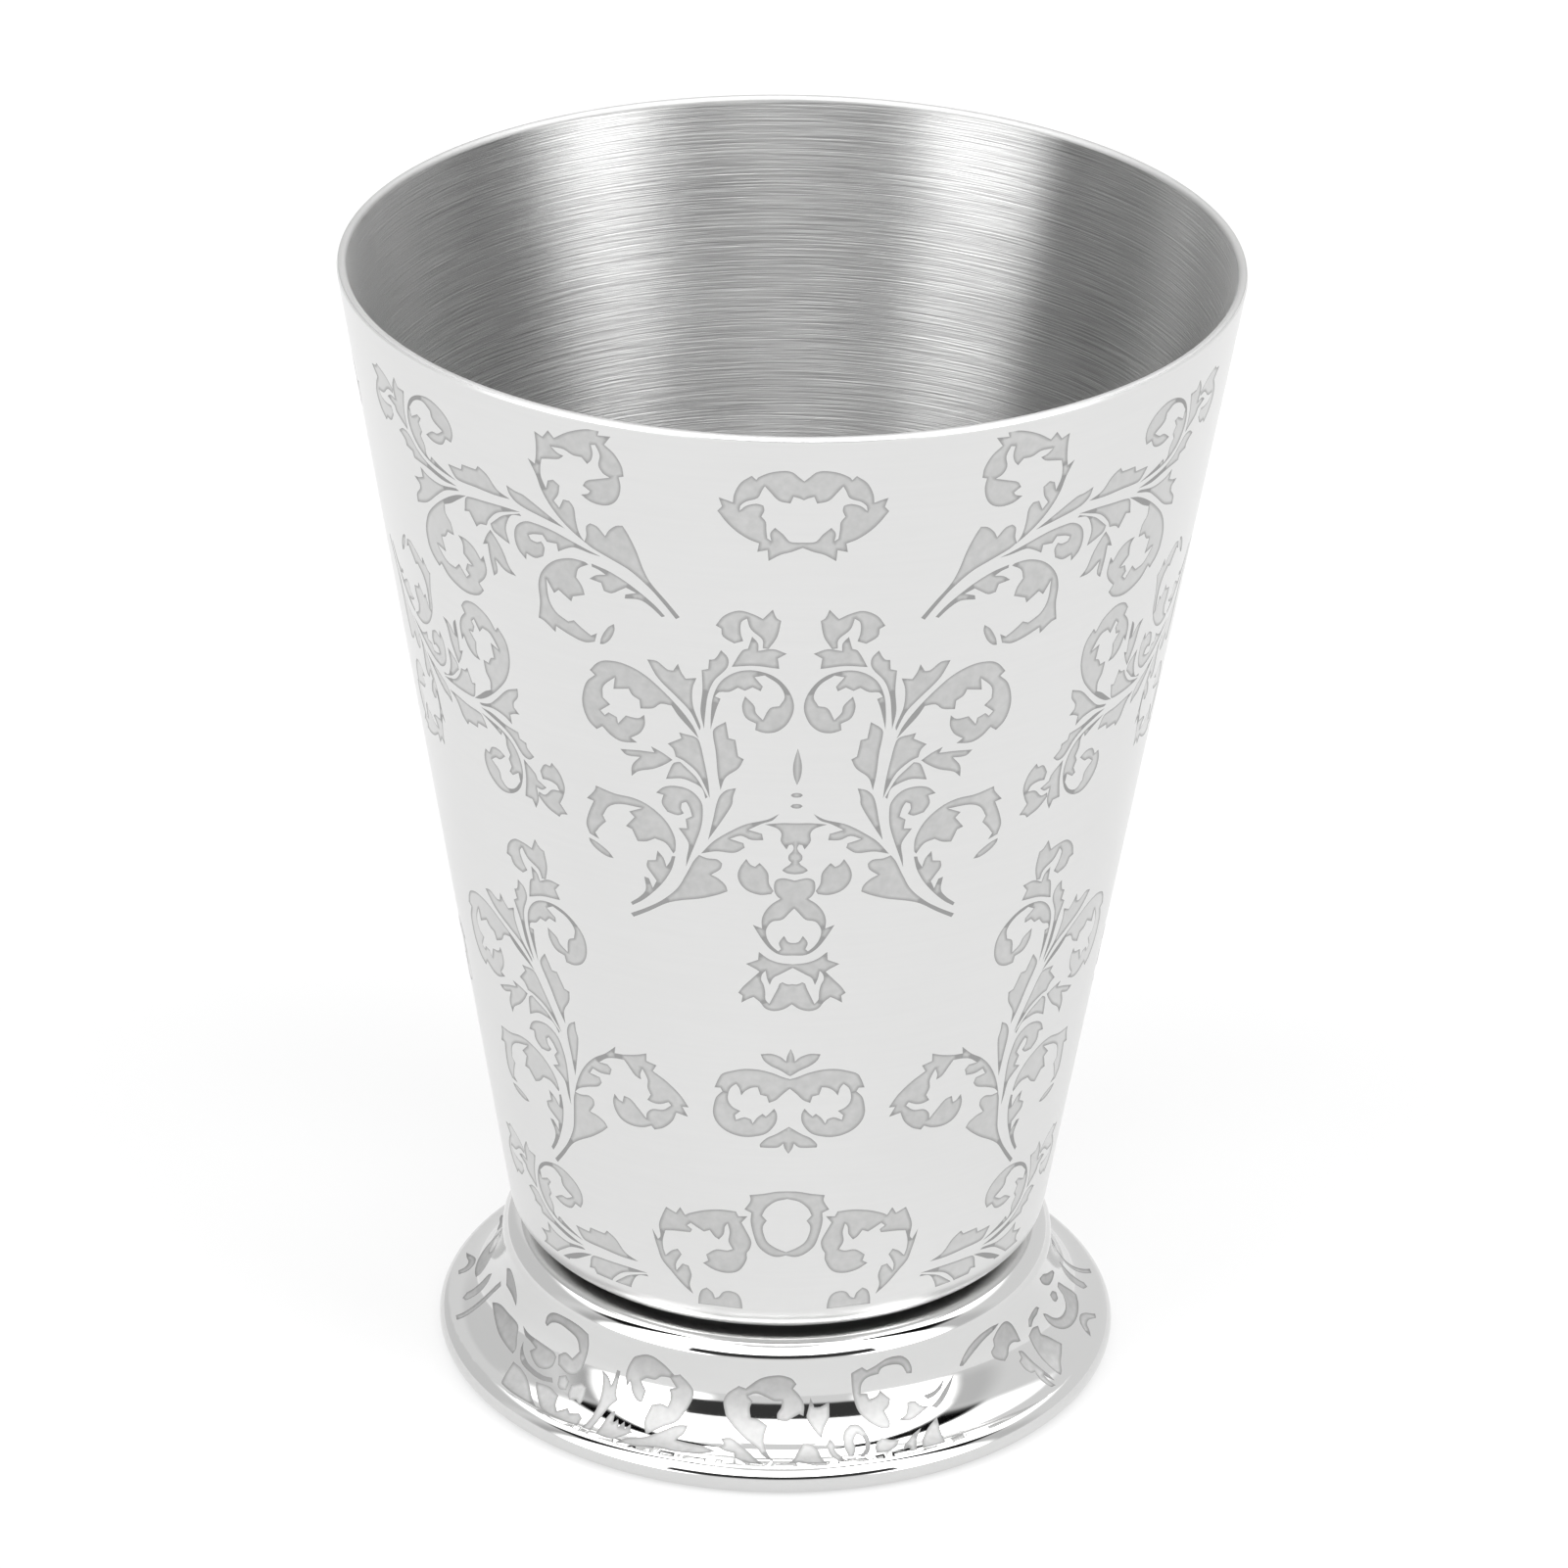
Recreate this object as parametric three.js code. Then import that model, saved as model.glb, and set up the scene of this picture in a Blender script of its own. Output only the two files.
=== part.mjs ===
// A tapered stainless julep cup on a flared foot, standing on z = 0 with its axis on Z.
// The cup is one deep-drawn shell, the foot is a stamped and hemmed shell, and a brazed ring joins them.
import * as THREE from 'three';

// Driving dimensions, in millimetres and degrees.
const overallHeight = 112.3;
const rimDiameter = 83.0;
const wallTaperDegrees = 9.2;
const cupSheet = 0.9;
const cupCornerRadius = 3.5;

const footDiameter = 65.7;
const footHeight = 12.8;
const footNeckDiameter = 53.4;
const footShoulderRadius = 2.0;
const footSheet = 0.9;
const lipHeight = 3.0;
const lipCreaseDegrees = 72;
const restingFlatWidth = 1.3;

const brazeThickness = 0.5;
const brazeInnerDiameter = 24.0;
const brazeWidth = 8.0;

// Smoothness of the turned surfaces.
const facets = 80;
const arcSteps = 3;

const rightAngle = Math.PI / 2;
const taper = THREE.MathUtils.degToRad(wallTaperDegrees);

// Turns a profile of (radius, height) points about Z.
function turned(name, profile, finish) {
  const geometry = new THREE.LatheGeometry(profile.getPoints(arcSteps), facets);
  geometry.rotateX(rightAngle);
  const mesh = new THREE.Mesh(geometry, new THREE.MeshStandardMaterial(finish));
  mesh.name = name;
  return mesh;
}

// The tapered shell: flat floor, bent bottom corner, straight wall and a rounded rim.
function cupBody() {
  const floorUnder = footHeight + brazeThickness;
  const floorTop = floorUnder + cupSheet;
  const rimRadius = cupSheet / 2;
  const rimCentre = new THREE.Vector2(rimDiameter / 2 - rimRadius, overallHeight - rimRadius);

  // A bend of the wall into a floor at the given height, on the wall's outer (+1) or inner (-1) face.
  function cornerCentre(floor, radius, face) {
    const height = floor + radius;
    const wallMiddle = rimCentre.x - (rimCentre.y - height) * Math.tan(taper);
    return new THREE.Vector2(wallMiddle + (face * rimRadius - radius) / Math.cos(taper), height);
  }
  const innerCornerRadius = Math.max(cupCornerRadius - cupSheet, cupSheet / 4);
  const outer = cornerCentre(floorUnder, cupCornerRadius, 1);
  const inner = cornerCentre(floorTop, innerCornerRadius, -1);

  const profile = new THREE.Path();
  profile.moveTo(0, floorUnder);
  profile.lineTo(outer.x, floorUnder);
  profile.absarc(outer.x, outer.y, cupCornerRadius, -rightAngle, -taper, false);
  profile.absarc(rimCentre.x, rimCentre.y, rimRadius, -taper, Math.PI - taper, false);
  profile.absarc(inner.x, inner.y, innerCornerRadius, -taper, -rightAngle, true);
  profile.lineTo(0, floorTop);
  return turned('cup_body', profile, { color: 0xd3d3d2, roughness: 0.35, metalness: 1 });
}

// The flared foot: flat top plate, rounded shoulder, concave flare and a hemmed lip that it stands on.
function foot() {
  const neckRadius = footNeckDiameter / 2;
  const shoulderHeight = footHeight - footShoulderRadius;
  const innerShoulderRadius = Math.max(footShoulderRadius - footSheet, footSheet / 4);

  const lipRadius = lipHeight / 2;
  const lipCentreRadius = footDiameter / 2 - lipRadius;
  const lipCrease = THREE.MathUtils.degToRad(lipCreaseDegrees);
  const hemInnerRadius = lipCentreRadius - restingFlatWidth;

  // The flare is a quarter ellipse, upright at the neck and level where it meets the lip.
  const flareEnd = new THREE.Vector2(
    lipCentreRadius + lipRadius * Math.cos(lipCrease),
    lipRadius + lipRadius * Math.sin(lipCrease),
  );
  const flareWidth = flareEnd.x - neckRadius;
  const flareDrop = shoulderHeight - flareEnd.y;
  const innerWidth = flareWidth + footSheet;
  const innerDrop = flareDrop + footSheet;
  const hemAngle = Math.PI + Math.acos((flareEnd.x - hemInnerRadius) / innerWidth);

  const profile = new THREE.Path();
  profile.moveTo(0, footHeight - footSheet);
  profile.lineTo(neckRadius - footSheet - innerShoulderRadius, footHeight - footSheet);
  profile.absarc(
    neckRadius - footSheet - innerShoulderRadius,
    footHeight - footSheet - innerShoulderRadius,
    innerShoulderRadius,
    rightAngle,
    0,
    true,
  );
  profile.absellipse(flareEnd.x, shoulderHeight, innerWidth, innerDrop, Math.PI, hemAngle, false);
  profile.lineTo(hemInnerRadius, 0);
  profile.lineTo(lipCentreRadius, 0);
  profile.absarc(lipCentreRadius, lipRadius, lipRadius, -rightAngle, lipCrease, false);
  profile.absellipse(flareEnd.x, shoulderHeight, flareWidth, flareDrop, 3 * rightAngle, Math.PI, true);
  profile.absarc(
    neckRadius - footShoulderRadius,
    shoulderHeight,
    footShoulderRadius,
    0,
    rightAngle,
    false,
  );
  profile.lineTo(0, footHeight);
  return turned('foot', profile, { color: 0xdcdcdc, roughness: 0.06, metalness: 1 });
}

// The flat brazed ring between the cup's floor and the foot's top plate.
function brazeRing() {
  const innerRadius = brazeInnerDiameter / 2;
  const outerRadius = innerRadius + brazeWidth;
  const profile = new THREE.Path();
  profile.moveTo(innerRadius, footHeight);
  profile.lineTo(outerRadius, footHeight);
  profile.lineTo(outerRadius, footHeight + brazeThickness);
  profile.lineTo(innerRadius, footHeight + brazeThickness);
  profile.lineTo(innerRadius, footHeight);
  return turned('braze_ring', profile, { color: 0xb9b09c, roughness: 0.5, metalness: 1 });
}

const julepCup = new THREE.Group();
julepCup.add(cupBody(), foot(), brazeRing());

export default julepCup;
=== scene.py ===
import math

import bmesh
import bpy
from mathutils import Matrix, Vector
from mathutils.geometry import delaunay_2d_cdt
from mathutils.kdtree import KDTree


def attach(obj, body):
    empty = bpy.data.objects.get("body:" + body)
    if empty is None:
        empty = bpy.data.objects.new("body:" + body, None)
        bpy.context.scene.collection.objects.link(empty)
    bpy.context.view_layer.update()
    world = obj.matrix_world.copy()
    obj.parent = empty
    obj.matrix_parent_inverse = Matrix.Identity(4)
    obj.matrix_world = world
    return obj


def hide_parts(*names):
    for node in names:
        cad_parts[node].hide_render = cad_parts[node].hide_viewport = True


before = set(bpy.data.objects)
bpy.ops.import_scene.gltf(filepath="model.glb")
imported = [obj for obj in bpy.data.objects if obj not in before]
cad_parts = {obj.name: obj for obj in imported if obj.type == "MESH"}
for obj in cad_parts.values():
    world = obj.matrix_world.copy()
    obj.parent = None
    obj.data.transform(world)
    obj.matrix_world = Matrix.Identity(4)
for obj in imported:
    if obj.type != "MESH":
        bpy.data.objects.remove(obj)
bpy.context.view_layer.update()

mm = 0.001
mergeDistance = 2e-6  # metres
sliverLength = 1e-7
print("frame loaded:", sorted(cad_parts))

# Etched ornament, in millimetres as read off the flattened wall: x to the right, y up.
# The spray is drawn upright about the middle of its stem.
sprayOutlines = {
    "baseLeaf": [
        (-6.2, -18), (-4.6, -16.95), (-3.1, -15.8), (-1.6, -14.2), (-0.7, -12.5), (0.1, -10.8),
        (0.6, -10.1), (1.3, -10.35), (2.3, -10.4), (2.7, -10.8), (2.55, -11.4), (1.65, -12.15),
        (2.3, -12.5), (2.95, -13.2), (3.1, -13.85), (2.25, -14.3), (0.7, -14.9), (-1.3, -15.45),
        (-2.6, -16), (-4.4, -17.3), (-5.95, -18.35),
    ],
    "leftBaseLeaf": [
        (-6, -17.05), (-5, -16.25), (-4, -15.2), (-2.85, -13.7), (-2.05, -12.2), (-1.7, -11),
        (-1.62, -10.6), (-1.95, -10.65), (-2.1, -11.2), (-2.5, -11.9), (-2.75, -11), (-3.3, -10.3),
        (-3.5, -11.4), (-4.3, -11.6), (-4.4, -12.3), (-3.9, -13.1), (-3.5, -13.7), (-3.9, -14.6),
        (-4.25, -13.6), (-4.7, -13.5), (-4.6, -14.9), (-5.2, -15.85), (-6.15, -16.75),
    ],
    "lowerScroll": [
        (-1.6, -10), (-1.6, -8.5), (-2.4, -6.8), (-3.9, -5.5), (-5.4, -5), (-7.3, -5), (-9.2, -4.7),
        (-9.3, -5.2), (-10.2, -6.4), (-9.5, -6.5), (-10.1, -8), (-10.4, -9.3), (-10.1, -10.3),
        (-9.1, -10.6), (-9.5, -10), (-8.9, -9.1), (-8.3, -8.4), (-8.6, -7.8), (-7.9, -6.6), (-6.7, -6),
        (-4.6, -5.9), (-5.9, -6.6), (-5.4, -7.1), (-6.3, -8.3), (-5.7, -8.5), (-5.2, -9.7),
        (-4.3, -9.5), (-3.5, -9), (-2.5, -9.3), (-1.8, -10.3),
    ],
    "scrollTip": [
        (-10.2, -10.8), (-9.4, -11), (-8.2, -11.7), (-7.7, -12.3), (-8.4, -12.3), (-9.5, -11.8),
        (-10.1, -11.2),
    ],
    "hookCurl": [
        (-0.65, -11.6), (-0.1, -10), (0.3, -8.9), (0.9, -7), (1.1, -5.5), (1, -4.2), (0.1, -3.1),
        (-1.2, -2.8), (-2.4, -3.1), (-3.2, -3.9), (-2.5, -4), (-2.7, -4.9), (-2.2, -5.8), (-1.2, -6),
        (-0.65, -5.7), (-0.9, -5.2), (-0.8, -4.6), (-0.4, -4.4), (-0.1, -5), (0.1, -5.9), (-0.5, -6.3),
        (-0.4, -7.3), (-1.2, -7.4), (-0.55, -8.4), (-0.3, -9.1), (-0.55, -10.6),
    ],
    "midLeaf": [
        (1.4, -3.8), (1.1, -2.7), (0.1, -2.1), (-0.8, -1.9), (-2.2, -2.2), (-1.8, -1.1), (-1.4, -0.3),
        (-0.8, -0.1), (-0.3, -0.6), (0.7, -1.7), (1.6, -3.6),
    ],
    "spikyLeaf": [
        (-1.5, 0), (-2.4, 0.6), (-3.5, 1.1), (-3.2, 0.5), (-4.6, 0.4), (-6.5, 0.1), (-5.9, -0.4),
        (-4.6, -0.3), (-5.4, -1.4), (-5.5, -2.6), (-4.8, -1.9), (-3.3, -1.3), (-2.2, -0.6),
    ],
    "stemLeaf": [
        (1.8, -3.7), (1.7, -1.9), (1.4, 0.4), (1, 2.5), (0.6, 2.85), (-0.3, 3), (-0.8, 3.1),
        (-0.6, 2.5), (-1.9, 1.7), (-1.4, 1.2), (-1.2, 0.4), (-0.5, 0.1), (0.7, -1), (1.4, -2.5),
    ],
    "bigScroll": [
        (1, 2.7), (0.5, 4), (-0.65, 5.7), (-2.2, 7.4), (-3.9, 8.8), (-5.8, 9.5), (-7.5, 9.4),
        (-8.4, 8.9), (-9.2, 7.9), (-8.7, 7.5), (-9.6, 6.5), (-10.1, 4.9), (-10.1, 3.6), (-9.6, 2.3),
        (-8.8, 1.6), (-8.2, 2.1), (-7.3, 1.3), (-6.3, 0.95), (-4.8, 1.2), (-5.4, 1.6), (-4.5, 2.3),
        (-4, 3.3), (-4, 4.4), (-4.6, 3.9), (-5.8, 3.9), (-6.6, 2.85), (-6.7, 3.5), (-7.5, 3.8),
        (-7.9, 3.4), (-8.3, 3.8), (-7.3, 4.7), (-8, 5.3), (-7.9, 6.5), (-6.7, 7.8), (-6.9, 6.5),
        (-5.4, 6.9), (-5.1, 6.3), (-4.4, 5.9), (-4.35, 5), (-3.1, 5.3), (-2.4, 5.9), (-1.4, 5.9),
        (-0.8, 4.9), (0.1, 3.8),
    ],
    "fanLeaf": [
        (1.1, 3.6), (0.3, 5.5), (-0.8, 6.8), (-2.6, 8.7), (-3.5, 10.45), (-2.6, 10.45), (-1.6, 9.7),
        (-1.1, 9.7), (-0.65, 10.5), (-0.4, 9.7), (0, 9), (1, 9.2), (0.6, 8), (0.6, 6.1), (1.2, 4),
    ],
    "topLeaf": [
        (1.5, 3.8), (1.25, 5.7), (1.5, 8), (1.5, 10.1), (2.1, 10.3), (2.2, 11.3), (2.7, 11.4),
        (3.3, 12.4), (3.9, 11.6), (3.8, 10.6), (2.6, 9.1), (2, 7.6), (1.7, 5.7),
    ],
    "spiral": [
        (2.1, 3.8), (2.2, 5.7), (2.5, 7.6), (3.3, 9.2), (4.7, 10.2), (6.2, 10.4), (7.9, 9.8),
        (9.1, 8.4), (9.6, 6.6), (9.1, 4.9), (8.1, 3.9), (7, 3.7), (6.1, 4), (6.2, 4.7), (5.3, 5.3),
        (5, 6.5), (5.3, 7.6), (6.1, 6.6), (6.2, 5.9), (6.8, 5.1), (7.5, 6.4), (8.3, 6.6), (8.8, 7.6),
        (8.3, 8.9), (7.1, 9.9), (6.2, 9.7), (6.9, 8.7), (6.7, 8.2), (6, 8.6), (5.3, 8.2), (4.7, 8.5),
        (3.9, 8), (3, 7.9), (2.6, 7.4), (3.1, 7.2), (2.7, 6.1),
    ],
    "budCup": [
        (4.2, 10.7), (5.2, 12.5), (5.7, 12.7), (6.1, 14), (6.6, 13.3), (6.6, 12.5), (7.9, 12.7),
        (9.1, 12.2), (8.3, 11.7), (8.4, 10.6), (6.2, 10.9),
    ],
    "bud": [
        (2.9, 15), (3.7, 16.1), (5, 16.7), (6.2, 16.4), (7.1, 15.9), (8, 16.9), (8.3, 16), (8.7, 15.7),
        (8.3, 14), (7.5, 12.7), (7, 12.8), (7, 13.7), (6, 14.8), (5.7, 15.9), (5.2, 15.5), (5.1, 14.4),
        (5.3, 13.5), (4.5, 13.2), (3.5, 13.9), (3.4, 14.7),
    ],
    "rightLeaf": [
        (2.3, 3.6), (2.6, 4.1), (3.5, 4.75), (3.7, 3), (4.3, 2.85), (4.5, 1.1), (5, 0.8), (4.5, -0.2),
        (3.3, -1.3), (2.8, -2.7), (2.6, -1), (2.5, 1.3),
    ],
    "lowerRightLeaf": [
        (1.5, -8.3), (2, -6.1), (2.6, -3.6), (3.3, -2.7), (4.2, -2.4), (3.9, -3.4), (3.8, -4.2),
        (2.8, -6.1),
    ],
}

branchOutlines = {
    "scrollBranch": [
        (0.5, -10.2), (1.3, -9.1), (2.3, -8), (3.6, -6.95), (5, -6.2), (6.5, -5.75), (8, -5.05),
        (7.6, -5.75), (8.6, -5.95), (10, -6.05), (11.1, -6), (10.75, -6.8), (11.6, -7.4),
        (10.95, -7.95), (11.9, -9.3), (12.6, -10.9), (12.85, -12.4), (12.25, -12.2), (12.35, -13.4),
        (11.4, -12.75), (10.6, -13.6), (9.4, -14.2), (8.35, -14.3), (8.2, -13.85), (7.2, -13.95),
        (6, -13.65), (5.2, -13), (4.9, -12.1), (5.05, -11), (5.6, -10.15), (5.85, -10.85),
        (6.15, -11.05), (6.6, -10.4), (7.2, -10.8), (7.6, -11.8), (8, -13), (8.35, -12.4),
        (9.1, -12.05), (10.2, -12.25), (11.2, -11.9), (11.1, -11.5), (10.2, -11.6), (9.5, -11.4),
        (9, -11), (9.6, -10.5), (9.6, -9.7), (10, -8.8), (9.95, -7.6), (9.45, -8.2), (9.3, -8.75),
        (8.85, -8.3), (8.55, -7.2), (8.35, -6.5), (7.4, -6.3), (6.4, -6.3), (5.3, -6.7), (6.2, -6.95),
        (6.45, -7.5), (6, -8.1), (5, -7.9), (4.2, -7.4), (3.6, -7.9), (4.6, -8.35), (4.6, -8.95),
        (4, -9.35), (2.6, -9.45), (1.3, -9.7),
    ],
    "archBranch": [
        (0.8, -9.9), (2, -8.4), (3.5, -7.2), (5, -6.3), (7, -5.7), (8, -5.1), (7.4, -5.8), (6.4, -6.2),
        (5.2, -6.9), (6.4, -7.3), (6.5, -8), (5.4, -8), (4.5, -7.6), (3.5, -8), (4.7, -8.4),
        (4.8, -8.9), (3.9, -9.5), (2.2, -9.5),
    ],
}

axisOutlines = {
    "wreath": [
        (0, 3.5), (0.5, 3.95), (1, 4.4), (1.7, 4.55), (3, 4.3), (4, 3.75), (4.15, 3.5), (4.55, 3.9),
        (5.5, 3.1), (6.05, 1.9), (6.15, 1), (6.7, 1.2), (7.4, 1.4), (7.1, 0.5), (7.5, 0), (6.6, -1.2),
        (5.7, -2.05), (4.7, -2.7), (3.8, -3.05), (3.95, -3.95), (3.05, -3.7), (2.95, -4.85),
        (1.9, -4.15), (1, -3.85), (0, -3.4), (0, -2.85), (0.6, -2.85), (1.15, -2.75), (1.7, -2.05),
        (2.45, -1.35), (2.85, -1.95), (2.75, -2.75), (3.1, -2.5), (3.2, -1.6), (3.25, -0.8),
        (3.65, -0.25), (3.4, 0.4), (3.5, 0.9), (4.1, 1.05), (5, 0.75), (5.55, 0.2), (5.5, 0.7),
        (5, 1.2), (4, 1.65), (3.65, 2.4), (3.4, 2.9), (3, 2.4), (2.15, 1.45), (1.15, 1.2), (0.9, 1.9),
        (0.4, 1.75), (0, 1.55),
    ],
    "lens": [
        (0, 2.2), (0.25, 1.2), (0.4, 0.2), (0.3, -0.9), (0, -1.8),
    ],
    "upperDot": [
        (0, -2.65), (0.35, -2.7), (0.55, -2.9), (0.35, -3.1), (0, -3.15),
    ],
    "lowerDot": [
        (0, -3.85), (0.35, -3.9), (0.55, -4.1), (0.35, -4.3), (0, -4.35),
    ],
    "crest": [
        (0, 11.25), (1.3, 11.25), (2.8, 11.05), (1.7, 10.65), (1.3, 10.1), (1.35, 9.3), (1.1, 8.8),
        (0.8, 8.35), (0.6, 8.85), (0.3, 8.9), (0.15, 8.5), (0.3, 8.1), (0.6, 7.7), (0.6, 7.2),
        (0.35, 6.95), (0.5, 6.65), (0.95, 6.3), (1.15, 6), (0.7, 5.7), (0, 5.6),
    ],
    "tulipBud": [
        (1.9, 3.7), (2.3, 4.5), (2.4, 5.6), (2.8, 6.3), (3.2, 6.75), (3.6, 6.3), (4, 6.5), (4.4, 7.1),
        (4.95, 6.1), (5.15, 5.2), (4.9, 4.3), (4.2, 3.55), (3.1, 3.2), (2.1, 3.35),
    ],
    "pansy": [
        (0, 4.9), (0.7, 5.1), (1.2, 5.15), (1.7, 4.9), (1.85, 4.4), (1.8, 3.6), (1.5, 3.05),
        (1.25, 2.85), (2.05, 2.2), (2.65, 1.3), (2.9, 0.4), (2.85, -0.55), (3.7, -0.2), (3.3, -0.95),
        (2.8, -1.85), (2.2, -2.7), (1.5, -3.3), (0.9, -3.5), (0, -3.5), (0, -2.1), (0.45, -2),
        (0.85, -1.3), (1.3, -2.1), (1.1, -2.8), (1.35, -3.05), (1.9, -2.5), (2.35, -1.7), (2.5, -0.8),
        (2.25, -0.1), (1.9, 0.3), (1.2, 0.45), (0.9, 0.65), (0.4, 1.3), (0, 1.8),
    ],
    "anthemion": [
        (0, -4.5), (1.2, -4.35), (2.2, -3.95), (3.1, -3.2), (3.15, -4.1), (4.25, -4.65), (3.3, -5.2),
        (3, -5.45), (3.7, -6.3), (4.5, -7.3), (4.9, -8), (4.5, -8.3), (4.6, -9.1), (4, -8.65),
        (3.5, -8.35), (2.9, -8.9), (2.4, -9.6), (1.6, -9.85), (0.7, -9.6), (0, -9.05), (0, -6.75),
        (0.4, -6.8), (0.9, -6.55), (1.15, -6.7), (1.3, -7.2), (1.75, -8.3), (2.05, -9.05), (2.4, -8.6),
        (2.45, -7.7), (2.6, -6.9), (2.85, -6.3), (2.75, -5.7), (2.45, -5.3), (2.3, -6.2), (2.05, -6.9),
        (1.75, -6.1), (1.2, -5.7), (0.6, -5.3), (0, -4.9),
    ],
    "moustache": [
        (0, 3.1), (0.7, 3.35), (1.7, 3.8), (3, 4.1), (4.3, 4.05), (5.5, 3.65), (6.25, 3.25), (6.6, 2.6),
        (6.95, 1.55), (6.4, 1.6), (6.2, 1.2), (6.75, 0.5), (7, -0.5), (7.05, -1.5), (6.75, -2.4),
        (6.05, -3.2), (5.05, -3.7), (4, -3.85), (2.9, -3.65), (2.1, -3.3), (1.5, -2.6), (1.15, -1.8),
        (1.15, -0.9), (1.4, -0.35), (1.8, -0.9), (2.15, -1.3), (2.45, -1), (2.95, -1.5), (3.35, -2.2),
        (3.5, -1.75), (4.1, -1.55), (4.9, -1.95), (5, -1.4), (4.5, -0.85), (5.2, -0.5), (5.65, 0.2),
        (5.65, 1.1), (5.4, 1.8), (4.95, 2.25), (4.65, 1.8), (4.45, 0.95), (4.1, 1.5), (3.5, 1.95),
        (2.95, 2.05), (2.7, 1.2), (2.1, 1.05), (1.9, 0.3), (1.25, 0.65), (0.6, 1.4), (0, 2),
    ],
    "upperTrefoil": [
        (0, 6.6), (0.3, 5.8), (0.4, 5.15), (0.9, 5.65), (1.8, 6), (2.75, 5.9), (2.45, 5.2), (1.8, 4.6),
        (0.9, 4.1), (0.25, 3.6), (0, 3.45),
    ],
    "lowerTrefoil": [
        (0, -2.45), (0.6, -2.9), (1.3, -3.4), (2, -3.8), (2.65, -4.6), (2.6, -4.95), (1.6, -4.95),
        (0.9, -4.85), (0.5, -4.4), (0.35, -5), (0, -5.6),
    ],
    "oRing": [
        (0, 6.15), (1, 6.1), (2.2, 5.8), (3.5, 5.55), (3.4, 4.9), (3.95, 3.8), (3.3, 3.45), (3.35, 2.4),
        (3.05, 0.8), (2.6, -0.5), (1.7, -1.4), (0.85, -1.7), (0, -1.5), (0, -1.1), (0.9, -0.65),
        (1.7, 0), (2.1, 0.95), (2.2, 1.9), (1.85, 2.6), (2.3, 3.2), (1.95, 4.05), (1.1, 4.9), (0, 5.25),
    ],
    "sideScroll": [
        (4.75, 3.45), (6.2, 3.45), (7.8, 3.05), (9.05, 2.45), (9.6, 2.05), (10.1, 2.85), (10.5, 2.05),
        (11.5, 2.45), (11.85, 1.5), (12.2, 0.15), (12.05, -1.3), (12.3, -1.7), (12.9, -0.65),
        (12.6, -1.9), (12.3, -2.9), (11.9, -4.05), (10.9, -5.2), (9.8, -6.4), (8.7, -7.3), (9.05, -6.3),
        (8.9, -5), (9.2, -4), (9.8, -3.9), (10.4, -4.9), (10.45, -4.1), (9.9, -2.8), (10.3, -2.25),
        (10.9, -2.65), (11.5, -3.4), (11.75, -2.6), (11.8, -1.6), (11.55, -0.4), (10.6, -0.15),
        (9.05, 0.1), (8.9, 0.5), (9.4, 0.85), (9.05, 1.25), (8.3, 0.8), (7.75, 0.5), (7.2, 0.8),
        (6.7, 0.1), (6.3, -0.15), (5.85, 0.6), (5.75, 1.5), (5.5, 1.9), (5.3, 0.9), (5.4, -0.2),
        (5, -1.1), (5.5, -1.35), (6.55, -1.4), (7.5, -2.2), (7.3, -2.9), (7.8, -3.3), (6.7, -3.9),
        (5.4, -4.05), (4.35, -3.6), (3.65, -2.2), (3.65, -1.4), (3.4, -0.95), (3.25, 0), (3.75, 1.25),
        (4.2, 2.2), (3.65, 3), (4.5, 2.9),
    ],
    "lowLeaf": [
        (3.95, -8.4), (4.05, -7.3), (4.4, -6.5), (5.1, -6.2), (5.8, -6.4), (6.25, -7.1), (6.6, -7.3),
        (6.8, -6.7), (7.4, -6.2), (7.9, -6.6), (8.15, -7.4), (8.2, -8.4),
    ],
}

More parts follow.
